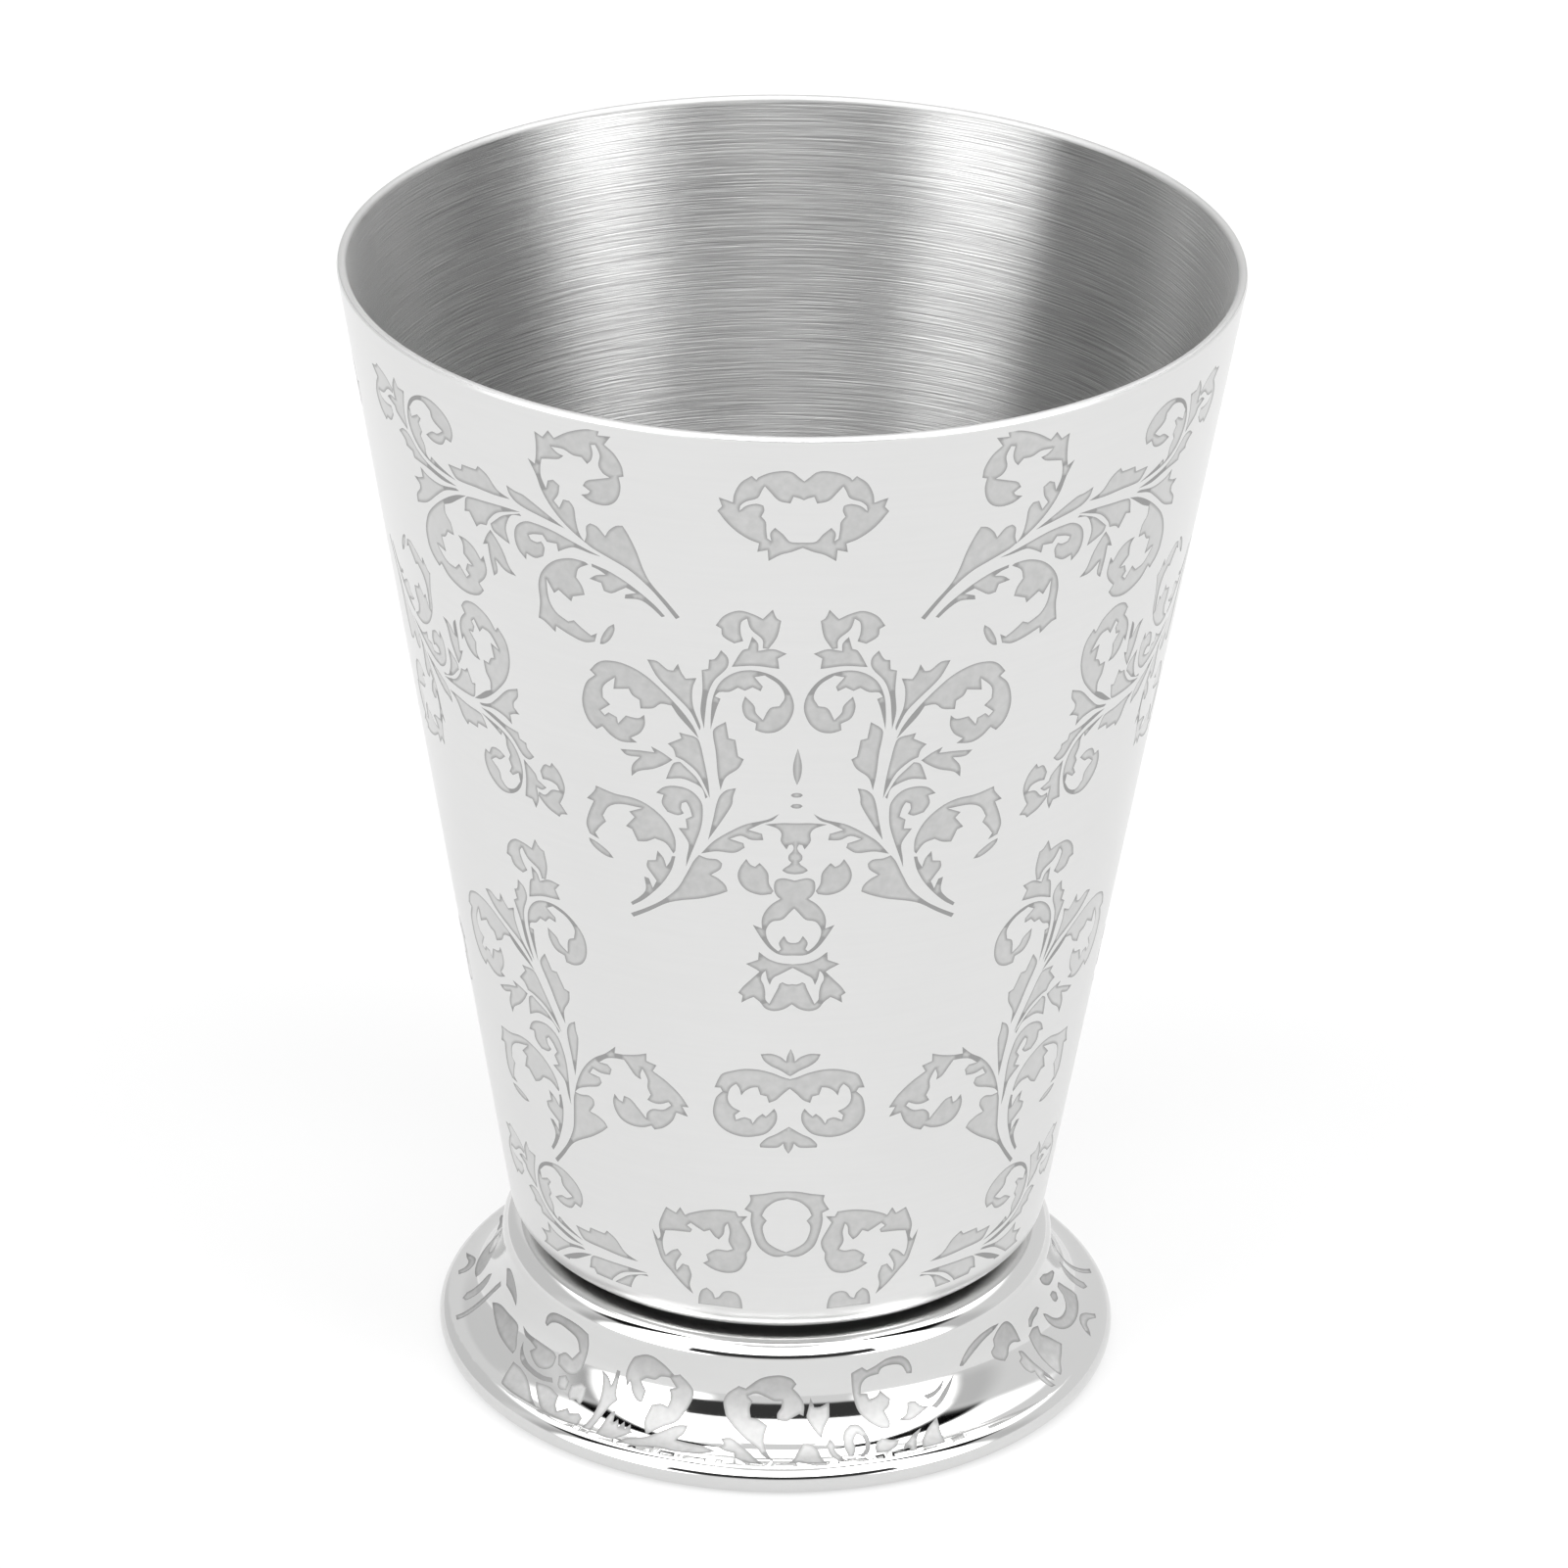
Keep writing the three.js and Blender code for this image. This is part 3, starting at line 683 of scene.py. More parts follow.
# Lays a flat panel of (angle, distance along the profile) on the turned profile, sinks its etched parts,
# mirrors it where asked and repeats it round the axis.
def makeWrapTree():
    tree = bpy.data.node_groups.new("wrapOnProfile", "GeometryNodeTree")
    addSockets(tree, "INPUT", {"Panel": "Geometry", "Profile": "Object", "Mirror": "Bool",
                               "Plain": "Material", "Etched": "Material"})
    addSockets(tree, "OUTPUT", {"Wrapped": "Geometry"})
    nodes = tree.nodes
    groupIn = nodes.new("NodeGroupInput")
    groupOut = nodes.new("NodeGroupOutput")
    profile = nodes.new("GeometryNodeObjectInfo")
    curve = nodes.new("GeometryNodeMeshToCurve")
    position = nodes.new("GeometryNodeInputPosition")
    split = nodes.new("ShaderNodeSeparateXYZ")
    sample = nodes.new("GeometryNodeSampleCurve")
    sample.mode = "LENGTH"
    sample.use_all_curves = True
    spot = nodes.new("ShaderNodeSeparateXYZ")
    tangent = nodes.new("ShaderNodeSeparateXYZ")
    depth = nodes.new("GeometryNodeInputNamedAttribute")
    depth.data_type = "FLOAT"
    depth.inputs["Name"].default_value = "depth"
    outR = tangent.outputs[2]
    outZ = mathNode(tree, "MULTIPLY", tangent.outputs[0], -1.0)
    radius = mathNode(tree, "SUBTRACT", spot.outputs[0], mathNode(tree, "MULTIPLY", outR, depth.outputs[0]))
    height = mathNode(tree, "SUBTRACT", spot.outputs[2], mathNode(tree, "MULTIPLY", outZ, depth.outputs[0]))
    storeR = nodes.new("GeometryNodeStoreNamedAttribute")
    storeZ = nodes.new("GeometryNodeStoreNamedAttribute")
    for store, name in ((storeR, "outwardR"), (storeZ, "outwardZ")):
        store.data_type = "FLOAT"
        store.domain = "POINT"
        store.inputs["Name"].default_value = name
    place = nodes.new("GeometryNodeSetPosition")
    mirror = nodes.new("GeometryNodeTransform")
    mirror.inputs["Scale"].default_value = (-1.0, 1.0, 1.0)
    flip = nodes.new("GeometryNodeFlipFaces")
    both = nodes.new("GeometryNodeJoinGeometry")
    choose = nodes.new("GeometryNodeSwitch")
    choose.input_type = "GEOMETRY"
    back = nodes.new("GeometryNodeTransform")
    back.inputs["Rotation"].default_value = (0.0, 0.0, math.pi)
    around = nodes.new("GeometryNodeJoinGeometry")
    merge = nodes.new("GeometryNodeMergeByDistance")
    merge.inputs["Distance"].default_value = mergeDistance
    realize = nodes.new("GeometryNodeRealizeInstances")
    plain = nodes.new("GeometryNodeSetMaterial")
    isEtched = nodes.new("GeometryNodeInputNamedAttribute")
    isEtched.data_type = "BOOLEAN"
    isEtched.inputs["Name"].default_value = "etched"
    etched = nodes.new("GeometryNodeSetMaterial")
    linkNodes(tree, [
        (groupIn.outputs["Profile"], profile.inputs["Object"]),
        (profile.outputs["Geometry"], curve.inputs["Mesh"]),
        (curve.outputs[0], sample.inputs["Curves"]),
        (position.outputs[0], split.inputs[0]),
        (split.outputs[1], sample.inputs["Length"]),
        (sample.outputs["Position"], spot.inputs[0]),
        (sample.outputs["Tangent"], tangent.inputs[0]),
        (groupIn.outputs["Panel"], storeR.inputs["Geometry"]),
        (outR, storeR.inputs["Value"]),
        (storeR.outputs[0], storeZ.inputs["Geometry"]),
        (outZ, storeZ.inputs["Value"]),
        (storeZ.outputs[0], place.inputs["Geometry"]),
        (turnedPosition(tree, radius, height, split.outputs[0]), place.inputs["Position"]),
        (place.outputs[0], mirror.inputs["Geometry"]),
        (mirror.outputs[0], flip.inputs["Mesh"]),
        (place.outputs[0], both.inputs[0]),
        (flip.outputs[0], both.inputs[0]),
        (groupIn.outputs["Mirror"], choose.inputs["Switch"]),
        (place.outputs[0], choose.inputs["False"]),
        (both.outputs[0], choose.inputs["True"]),
        (choose.outputs[0], back.inputs["Geometry"]),
        (choose.outputs[0], around.inputs[0]),
        (back.outputs[0], around.inputs[0]),
        (around.outputs[0], merge.inputs["Geometry"]),
        (merge.outputs[0], realize.inputs[0]),
        (realize.outputs[0], plain.inputs["Geometry"]),
        (groupIn.outputs["Plain"], plain.inputs["Material"]),
        (plain.outputs[0], etched.inputs["Geometry"]),
        (isEtched.outputs[0], etched.inputs["Selection"]),
        (groupIn.outputs["Etched"], etched.inputs["Material"]),
        (etched.outputs[0], groupOut.inputs[0]),
    ])
    return tree


def setTreeInputs(modifier, values):
    for item in modifier.node_group.interface.items_tree:
        if item.item_type == "SOCKET" and item.in_out == "INPUT" and item.name in values:
            modifier[item.identifier] = values[item.name]


# Runs a tree on a helper mesh and returns the result as a plain mesh.
def evaluateTree(name, mesh, tree, values):
    helper = bpy.data.objects.new(name, mesh)
    bpy.context.scene.collection.objects.link(helper)
    modifier = helper.modifiers.new(name, "NODES")
    modifier.node_group = tree
    setTreeInputs(modifier, values)
    helper.update_tag()
    bpy.context.view_layer.update()
    graph = bpy.context.evaluated_depsgraph_get()
    result = bpy.data.meshes.new_from_object(helper.evaluated_get(graph), depsgraph=graph)
    bpy.data.objects.remove(helper)
    return result


def profileMesh(name, profile):
    mesh = bpy.data.meshes.new(name)
    points = [(r * mm, 0.0, z * mm) for r, z in profile]
    mesh.from_pydata(points, [(i, i + 1) for i in range(len(points) - 1)], [])
    return mesh


def turnedShell(name, profile, finish, segments):
    return evaluateTree(name, profileMesh(name, profile), turnedShellTree,
                        {"Segments": segments, "Finish": finishOf[finish]})


# Makes a flat panel a mesh with its relief and lays it on a profile.
def wrappedPanel(name, places, triangles, relief, profile, mirror, plain, etched):
    panel = bpy.data.meshes.new(name)
    panel.from_pydata(places, [], triangles)
    isEtched, depth, paintedEdgeShade = relief
    panel.attributes.new("etched", "BOOLEAN", "FACE").data.foreach_set("value", isEtched)
    panel.attributes.new("depth", "FLOAT", "POINT").data.foreach_set("value", [d * mm for d in depth])
    # Each point's share of the painted shade along the etched edges.
    panel.attributes.new("edgeShade", "FLOAT", "POINT").data.foreach_set("value", paintedEdgeShade)
    line = bpy.data.objects.new(name + "Line", profileMesh(name + "Line", profile))
    bpy.context.scene.collection.objects.link(line)
    wrapped = evaluateTree(name, panel, wrapTree, {
        "Profile": line, "Mirror": mirror, "Plain": finishOf[plain], "Etched": finishOf[etched]})
    bpy.data.objects.remove(line)
    return wrapped


# Joins evaluated meshes into one closed piece with outward faces and exact normals on its wrapped panels.
def joinPiece(name, meshes, materials):
    points, faces, faceSlots = [], [], []
    paintedEdgeShade, outR, outZ = [], [], []
    for mesh in meshes:
        offset = len(points)
        points.extend(tuple(v.co) for v in mesh.vertices)
        for key, store in (("edgeShade", paintedEdgeShade), ("outwardR", outR), ("outwardZ", outZ)):
            layer = mesh.attributes.get(key)
            if layer:
                store.extend(item.value for item in layer.data)
            else:
                store.extend([0.0] * len(mesh.vertices))
        slots = [materials.index(m.name) if m and m.name in materials else 0 for m in mesh.materials]
        for polygon in mesh.polygons:
            faces.append([offset + i for i in polygon.vertices])
            faceSlots.append(slots[polygon.material_index])
    joined = bpy.data.meshes.new(name)
    joined.from_pydata(points, [], faces)
    for material in materials:
        joined.materials.append(bpy.data.materials[material])
    joined.polygons.foreach_set("material_index", faceSlots)
    for key, store in (("edgeShade", paintedEdgeShade), ("outwardR", outR), ("outwardZ", outZ)):
        joined.attributes.new(key, "FLOAT", "POINT").data.foreach_set("value", store)
    work = bmesh.new()
    work.from_mesh(joined)
    bmesh.ops.remove_doubles(work, verts=work.verts, dist=mergeDistance)
    bmesh.ops.dissolve_degenerate(work, edges=work.edges, dist=sliverLength)
    bmesh.ops.recalc_face_normals(work, faces=work.faces)
    for face in work.faces:
        face.smooth = True
    openEdges = sum(1 for e in work.edges if len(e.link_faces) != 2)
    work.to_mesh(joined)
    work.free()
    normals = []
    outR = [item.value for item in joined.attributes["outwardR"].data]
    outZ = [item.value for item in joined.attributes["outwardZ"].data]
    for vertex, nr, nz in zip(joined.vertices, outR, outZ):
        flatLength = math.hypot(vertex.co.x, vertex.co.y)
        if nr * nr + nz * nz > 0.25 and flatLength > 0:  # only wrapped panels store a direction
            normals.append((vertex.co.x / flatLength * nr, vertex.co.y / flatLength * nr, nz))
        else:
            normals.append(tuple(vertex.normal))
    joined.normals_split_custom_set_from_vertices(normals)
    piece = bpy.data.objects.new(name, joined)
    bpy.context.scene.collection.objects.link(piece)
    print(name, "points", len(joined.vertices), "faces", len(joined.polygons), "open edges", openEdges)
    return piece


# Materials

grain = {
    "fineDetail": 4.0,
    "fineShare": 0.6,
    "broadScale": 45.0,
    "broadDetail": 2.0,
    "height": 0.0001,  # of brushing, in metres
    "grazingFrom": 0.3,  # share of turning away where the painted grazing sheen starts
    "grazingTo": 0.85,
    "across": 0.25,  # turn of the highlights, to stretch across the brushing
    "warmth": 0.995,  # blue against red and green
}


# Slow tone changes and a fine grain for worked steel, from the piece's own coordinates.
def makeSteelToneGroup():
    group = bpy.data.node_groups.new("steelTone", "ShaderNodeTree")
    addSockets(group, "INPUT", {"Stretch": "Vector", "Low": "Color", "High": "Color", "Contrast": "Float"})
    addSockets(group, "OUTPUT", {"Colour": "Color", "Grain": "Float"})
    nodes = group.nodes
    groupIn = nodes.new("NodeGroupInput")
    groupOut = nodes.new("NodeGroupOutput")
    coords = nodes.new("ShaderNodeTexCoord")
    stretch = nodes.new("ShaderNodeVectorMath")
    stretch.operation = "MULTIPLY"
    fine = nodes.new("ShaderNodeTexNoise")
    fine.inputs["Scale"].default_value = 1.0
    fine.inputs["Detail"].default_value = grain["fineDetail"]
    broad = nodes.new("ShaderNodeTexNoise")
    broad.inputs["Scale"].default_value = grain["broadScale"]
    broad.inputs["Detail"].default_value = grain["broadDetail"]
    blend = mathNode(group, "ADD", mathNode(group, "MULTIPLY", fine.outputs[0], grain["fineShare"]),
                     mathNode(group, "MULTIPLY", broad.outputs[0], 1.0 - grain["fineShare"]))
    spread = mathNode(group, "MULTIPLY", mathNode(group, "SUBTRACT", blend, 0.5), groupIn.outputs["Contrast"])
    blend = mathNode(group, "ADD", spread, 0.5)
    colour = nodes.new("ShaderNodeMix")
    colour.data_type = "RGBA"
    linkNodes(group, [
        (coords.outputs["Object"], stretch.inputs[0]),
        (groupIn.outputs["Stretch"], stretch.inputs[1]),
        (stretch.outputs[0], fine.inputs["Vector"]),
        (coords.outputs["Object"], broad.inputs["Vector"]),
        (blend, colour.inputs["Factor"]),
        (groupIn.outputs["Low"], colour.inputs["A"]),
        (groupIn.outputs["High"], colour.inputs["B"]),
        (colour.outputs["Result"], groupOut.inputs["Colour"]),
        (fine.outputs[0], groupOut.inputs["Grain"]),
    ])
    return group


def grey(value):
    return (value, value, value * grain["warmth"], 1.0)


# Mixes a colour towards an even grey.
def towardsGrey(tree, colour, factor, value):
    mix = tree.nodes.new("ShaderNodeMix")
    mix.data_type = "RGBA"
    mix.inputs["B"].default_value = grey(value)
    linkNodes(tree, [(factor, mix.inputs["Factor"]), (colour, mix.inputs["A"])])
    return mix.outputs["Result"]


def makeSteel(name, finish):
    material = bpy.data.materials.new(name)
    material.use_nodes = True
    tree = material.node_tree
    shader = tree.nodes["Principled BSDF"]
    shader.inputs["Metallic"].default_value = 1.0
    tone = tree.nodes.new("ShaderNodeGroup")
    tone.node_tree = steelToneGroup
    tone.inputs["Stretch"].default_value = finish["stretch"]
    tone.inputs["Low"].default_value = grey(finish["low"])
    tone.inputs["High"].default_value = grey(finish["high"])
    tone.inputs["Contrast"].default_value = finish.get("contrast", 1.0)
    colour = tone.outputs["Colour"]
    # Painted sheen: where the surface turns away from the view the colour is mixed towards a paler grey,
    # standing in for the brighter grazing reflection.
    if "paintedGrazingSheen" in finish:
        facing = tree.nodes.new("ShaderNodeLayerWeight")
        paintedSheenMask = tree.nodes.new("ShaderNodeMapRange")
        paintedSheenMask.inputs["From Min"].default_value = grain["grazingFrom"]
        paintedSheenMask.inputs["From Max"].default_value = grain["grazingTo"]
        tree.links.new(facing.outputs["Facing"], paintedSheenMask.inputs["Value"])
        colour = towardsGrey(tree, colour, paintedSheenMask.outputs[0], finish["paintedGrazingSheen"])
    # Painted shade: along the etched outlines the colour is mixed towards a darker grey, standing in for the
    # shading of the etched step.
    if "paintedEdgeShade" in finish:
        paintedEdgeShade = tree.nodes.new("ShaderNodeAttribute")
        paintedEdgeShade.attribute_name = "edgeShade"
        colour = towardsGrey(tree, colour, paintedEdgeShade.outputs["Fac"], finish["paintedEdgeShade"])
    tree.links.new(colour, shader.inputs["Base Color"])
    rough = tree.nodes.new("ShaderNodeMapRange")
    rough.inputs["To Min"].default_value = finish["rough"][0]
    rough.inputs["To Max"].default_value = finish["rough"][1]
    linkNodes(tree, [(tone.outputs["Grain"], rough.inputs["Value"]),
                     (rough.outputs[0], shader.inputs["Roughness"])])
    if "bump" in finish:
        bump = tree.nodes.new("ShaderNodeBump")
        bump.inputs["Strength"].default_value = finish["bump"]
        bump.inputs["Distance"].default_value = grain["height"]
        linkNodes(tree, [(tone.outputs["Grain"], bump.inputs["Height"]),
                         (bump.outputs[0], shader.inputs["Normal"])])
    if "anisotropy" in finish:
        tangent = tree.nodes.new("ShaderNodeTangent")
        tangent.direction_type = "RADIAL"
        tangent.axis = "Z"
        shader.inputs["Anisotropic"].default_value = finish["anisotropy"]
        shader.inputs["Anisotropic Rotation"].default_value = grain["across"]
        tree.links.new(tangent.outputs[0], shader.inputs["Tangent"])
    return material


finishes = {
    "satinSteel": {"stretch": (120, 120, 2500), "low": 0.67, "high": 0.715, "rough": (0.28, 0.34)},
    # Etched steel: its own frosted, mottled grey, with painted shade along its outlines and a painted paler
    # sheen where it turns away from the view.
    "etchedSteel": {"stretch": (1300, 1300, 1300), "low": 0.435, "high": 0.535, "contrast": 2.4,
                    "paintedEdgeShade": 0.30, "paintedGrazingSheen": 0.6, "rough": (0.5, 0.6)},
    # Rolled rim: the wall's steel painted darker, as painted shade that tones down the rim's highlight.
    "rimSteel": {"stretch": (60, 60, 1500), "low": 0.37, "high": 0.43, "rough": (0.55, 0.65)},
    # Inside: brushing grain, with the steel painted darker than outside as painted shade of the cup's
    # interior, and a painted paler sheen where it turns away from the view.
    "insideSteel": {"stretch": (110, 110, 6500), "low": 0.20, "high": 0.49, "contrast": 1.9,
                    "paintedGrazingSheen": 0.68, "rough": (0.27, 0.37), "bump": 0.6, "anisotropy": 1.0},
    "undersideSteel": {"stretch": (300, 300, 300), "low": 0.6, "high": 0.7, "rough": (0.3, 0.4)},
    "polishedSteel": {"stretch": (40, 40, 900), "low": 0.64, "high": 0.68, "rough": (0.04, 0.07)},
    # Etched foot: its own frosted grey, with painted shade along its outlines.
    "etchedFootSteel": {"stretch": (1300, 1300, 1300), "low": 0.29, "high": 0.38, "contrast": 2.4,
                        "paintedEdgeShade": 0.21, "rough": (0.6, 0.7)},
    "brazeMetal": {"stretch": (700, 700, 700), "low": 0.42, "high": 0.62, "rough": (0.4, 0.65),
                   "bump": 0.5},
}
steelToneGroup = makeSteelToneGroup()
for finishName, finish in finishes.items():
    makeSteel(finishName, finish)
print("materials made:", len(finishes))


# The cup

# Where the outlines lie on the left front quarter: degrees from the ornament's axis, height on the wall in
# mm, turn in degrees, and a stretch and shift in mm along the wall. The quarter is mirrored, then both
# halves are turned to the back.
cupOrnament = {
    "centreSpray": {"at": (-15.5, 78.0), "turn": 0.0, "shift": (0.0, 0.0), "branch": "archBranch"},
    "lowerSpray": {"at": (-48.5, 46.95), "turn": 16.3, "shift": (0.0, 0.0), "branch": "scrollBranch"},
    "topSpray": {"at": (-43.0, 99.0), "turn": 87.6, "shift": (-0.66, 0.1), "stretch": (1.04, 0.98),
                 "branch": "scrollBranch"},
    "sideSpray": {"at": (-60.0, 78.0), "turn": -99.2, "shift": (2.36, 1.39), "stretch": (0.785, 1.0),
                  "branch": "scrollBranch"},
    "bottomSpray": {"at": (-48.0, 22.5), "turn": 83.0, "shift": (4.86, -5.3), "branch": None,
                    "without": ("baseLeaf", "leftBaseLeaf", "lowerRightLeaf", "hookCurl", "lowerScroll",
                                "scrollTip")},
}
axisOrnament = [
    {"outlines": ("wreath",), "height": 104.6},
    {"outlines": ("lens", "upperDot", "lowerDot"), "height": 78.0},
    {"outlines": ("crest", "tulipBud", "pansy", "anthemion"), "height": 61.0},
    {"outlines": ("moustache", "upperTrefoil", "lowerTrefoil"), "height": 40.5},
    {"outlines": ("oRing", "sideScroll", "lowLeaf"), "height": 24.5},
]
sideAngle = -90.0  # where the mirrored quarters meet at the side
sideOrnament = [
    {"outlines": ("wreath",), "height": 101.5},
    {"outlines": ("moustache", "upperTrefoil", "lowerTrefoil"), "height": 44.0},
]

cup = {  # millimetres
    "height": 112.3,
    "rimDiameter": 83.0,
    "taper": math.radians(9.2),
    "sheet": 0.9,
    "corner": 3.5,
    "underside": 13.3,
    "etchedFrom": 16.3,
    "etchedTo": 111.5,
    "segments": 256,
    "rimSteps": 14,
    "skirtSteps": 4,  # of the rim's steps, left satin like the wall
    "rimInside": 0.12,  # strip inside the rim, in the rim's finish
    "cornerSteps": 12,
    "innerCornerSteps": 10,
}

turnedShellTree = makeTurnedShellTree()
wrapTree = makeWrapTree()
finishOf = bpy.data.materials
taperSin, taperCos, taperTan = math.sin(cup["taper"]), math.cos(cup["taper"]), math.tan(cup["taper"])
rimRound = cup["sheet"] / 2
rimCentre = (cup["rimDiameter"] / 2 - rimRound, cup["height"] - rimRound)
wallTop = (rimCentre[0] + rimRound * taperCos, rimCentre[1] - rimRound * taperSin)


def wallRadius(height):
    return wallTop[0] + (height - wallTop[1]) * taperTan


def cornerCentre(floor, radius, face):
    height = floor + radius
    middle = rimCentre[0] - (rimCentre[1] - height) * taperTan
    return (middle + (face * rimRound - radius) / taperCos, height)


# A motif's own millimetres to the flattened wall, where the cone's tip is the origin.
def onWall(outline, angle, height, turn=0.0, shift=(0.0, 0.0), stretch=(1.0, 1.0)):
    reach = wallRadius(height) / taperSin
    lean = math.radians(angle) * taperSin
    cosTurn, sinTurn = math.cos(math.radians(turn)), math.sin(math.radians(turn))
    placed = []
    for x, y, onAxis in outline:
        u = (x * cosTurn - y * sinTurn) * stretch[0] + shift[0]
        v = (x * sinTurn + y * cosTurn) * stretch[1] + shift[1] + reach
        distance = math.hypot(u, v)
        across = math.atan2(u, v) + lean
        placed.append((distance * math.sin(across), distance * math.cos(across), onAxis))
    return placed


def cupOutlines():
    step = etching["step"]
    placed = []
    for spray in cupOrnament.values():
        without = spray.get("without", ())
        shapes = {key: points for key, points in sprayOutlines.items() if key not in without}
        if spray["branch"]:
            shapes[spray["branch"]] = branchOutlines[spray["branch"]]
        for points in shapes.values():
            placed.append(onWall(smoothOutline(points, step), *spray["at"], spray["turn"], spray["shift"],
                                 spray.get("stretch", (1.0, 1.0))))
    for motif in axisOrnament:
        for key in motif["outlines"]:
            outline = [(-x, y, onAxis) for x, y, onAxis in smoothOutline(axisOutlines[key], step, True)]
            placed.append(onWall(outline, 0.0, motif["height"]))
    for motif in sideOrnament:
        for key in motif["outlines"]:
            outline = smoothOutline(axisOutlines[key], step, True)
            placed.append(onWall(outline, sideAngle, motif["height"]))
    low = wallRadius(cup["etchedFrom"] + etching["cornerGap"]) / taperSin
    high = wallRadius(cup["etchedTo"] - etching["rimGap"]) / taperSin
    clipped = []
    for index, outline in enumerate(placed):
        inward = etching["cutStagger"] * index / len(placed)
        outline = clipOutline(outline, lambda p: math.hypot(p[0], p[1]), low + inward)
        outline = clipOutline(outline, lambda p: -math.hypot(p[0], p[1]), inward - high)
        if len(outline) > 3:
            clipped.append(outline)
    return clipped


def makeCup():
    quarter = cup["segments"] // 4
    low = wallRadius(cup["etchedFrom"]) / taperSin
    high = wallRadius(cup["etchedTo"]) / taperSin
    full = math.pi / 2 * taperSin
    leans = [full * i / quarter for i in range(quarter + 1)]
    border = [(-low * math.sin(lean), low * math.cos(lean)) for lean in leans]
    border += [(-high * math.sin(lean), high * math.cos(lean)) for lean in reversed(leans)]
    seams = [(border[0], border[-1]), (border[quarter], border[quarter + 1])]
    spacing = etching["grid"]
    spread = []
    row = 0
    distance = low + spacing * etching["firstRow"]
    while distance < high - spacing * etching["lastRow"]:
        columns = max(4, round(full * distance / spacing))
        for column in range(columns):
            lean = full * (column + setOver(row)) / columns
            spread.append((-distance * math.sin(lean), distance * math.cos(lean)))
        row += 1
        distance += spacing * etching["rowPitch"]
    flat, triangles, etched, depth, paintedEdgeShade = etchedPanel(border, seams, cupOutlines(), spread)
    places = []
    for point in flat:
        angle = math.atan2(point.x, point.y) / taperSin
        places.append((angle, (math.hypot(point.x, point.y) - low) * mm, 0.0))
    etchedBottom = (wallRadius(cup["etchedFrom"]), cup["etchedFrom"])
    etchedTop = (wallRadius(cup["etchedTo"]), cup["etchedTo"])
    wall = wrappedPanel("cupPanel", places, triangles, (etched, depth, paintedEdgeShade), [etchedBottom, etchedTop],
                        True, "satinSteel", "etchedSteel")

    rimArc = arcPoints(*rimCentre, rimRound, rimRound, -cup["taper"], math.pi - cup["taper"],
                       cup["rimSteps"])
    innerTop = rimArc[-1]
    innerStart = (innerTop[0] - cup["rimInside"] * taperSin, innerTop[1] - cup["rimInside"] * taperCos)
    skirtLine = [etchedTop] + rimArc[:cup["skirtSteps"] + 1]
    rimLine = rimArc[cup["skirtSteps"]:] + [innerStart]
    floorTop = cup["underside"] + cup["sheet"]
    innerRound = cup["corner"] - cup["sheet"]
    inner = cornerCentre(floorTop, innerRound, -1)
    innerArc = arcPoints(*inner, innerRound, innerRound, -cup["taper"], -math.pi / 2,
                         cup["innerCornerSteps"])
    insideLine = [innerStart] + straightRun(innerStart, innerArc[0]) + innerArc
    insideLine += straightRun(innerArc[-1], (0.0, floorTop)) + [(0.0, floorTop)]
    outer = cornerCentre(cup["underside"], cup["corner"], 1)
    outerArc = arcPoints(*outer, cup["corner"], cup["corner"], -math.pi / 2, -cup["taper"],
                         cup["cornerSteps"])
    underMiddle = (0.0, cup["underside"])
    underLine = [underMiddle] + straightRun(underMiddle, outerArc[0]) + [outerArc[0]]
    cornerLine = outerArc + [etchedBottom]
    count = cup["segments"]
    shells = [
        wall,
        turnedShell("skirt", skirtLine, "satinSteel", count),
        turnedShell("rim", rimLine, "rimSteel", count),
        turnedShell("inside", insideLine, "insideSteel", count),
        turnedShell("under", underLine, "undersideSteel", count),
        turnedShell("corner", cornerLine, "satinSteel", count),
    ]
    return joinPiece("etchedCup", shells,
                     ["satinSteel", "etchedSteel", "rimSteel", "insideSteel", "undersideSteel"])


etchedCup = makeCup()
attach(etchedCup, "root")
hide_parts("cup_body")
print("cup made")


# The foot

foot = {  # millimetres
    "diameter": 65.7,
    "height": 12.8,
    "neckDiameter": 53.4,
    "shoulder": 2.0,
    "sheet": 0.9,
    "lipHeight": 3.0,
    "lipCrease": math.radians(72),
    "restingFlat": 1.3,
    "flareFrom": 2.5,  # the ornament's own measure of where the flare starts and ends
    "flareTo": 13.15,
    "meanRadius": 29.0,
    "segments": 256,
    "panelRows": 16,
    "shoulderSteps": 12,
    "flareSteps": 400,
    "lipSteps": 20,
    "innerFlareSteps": 24,
    "innerShoulderSteps": 8,
}


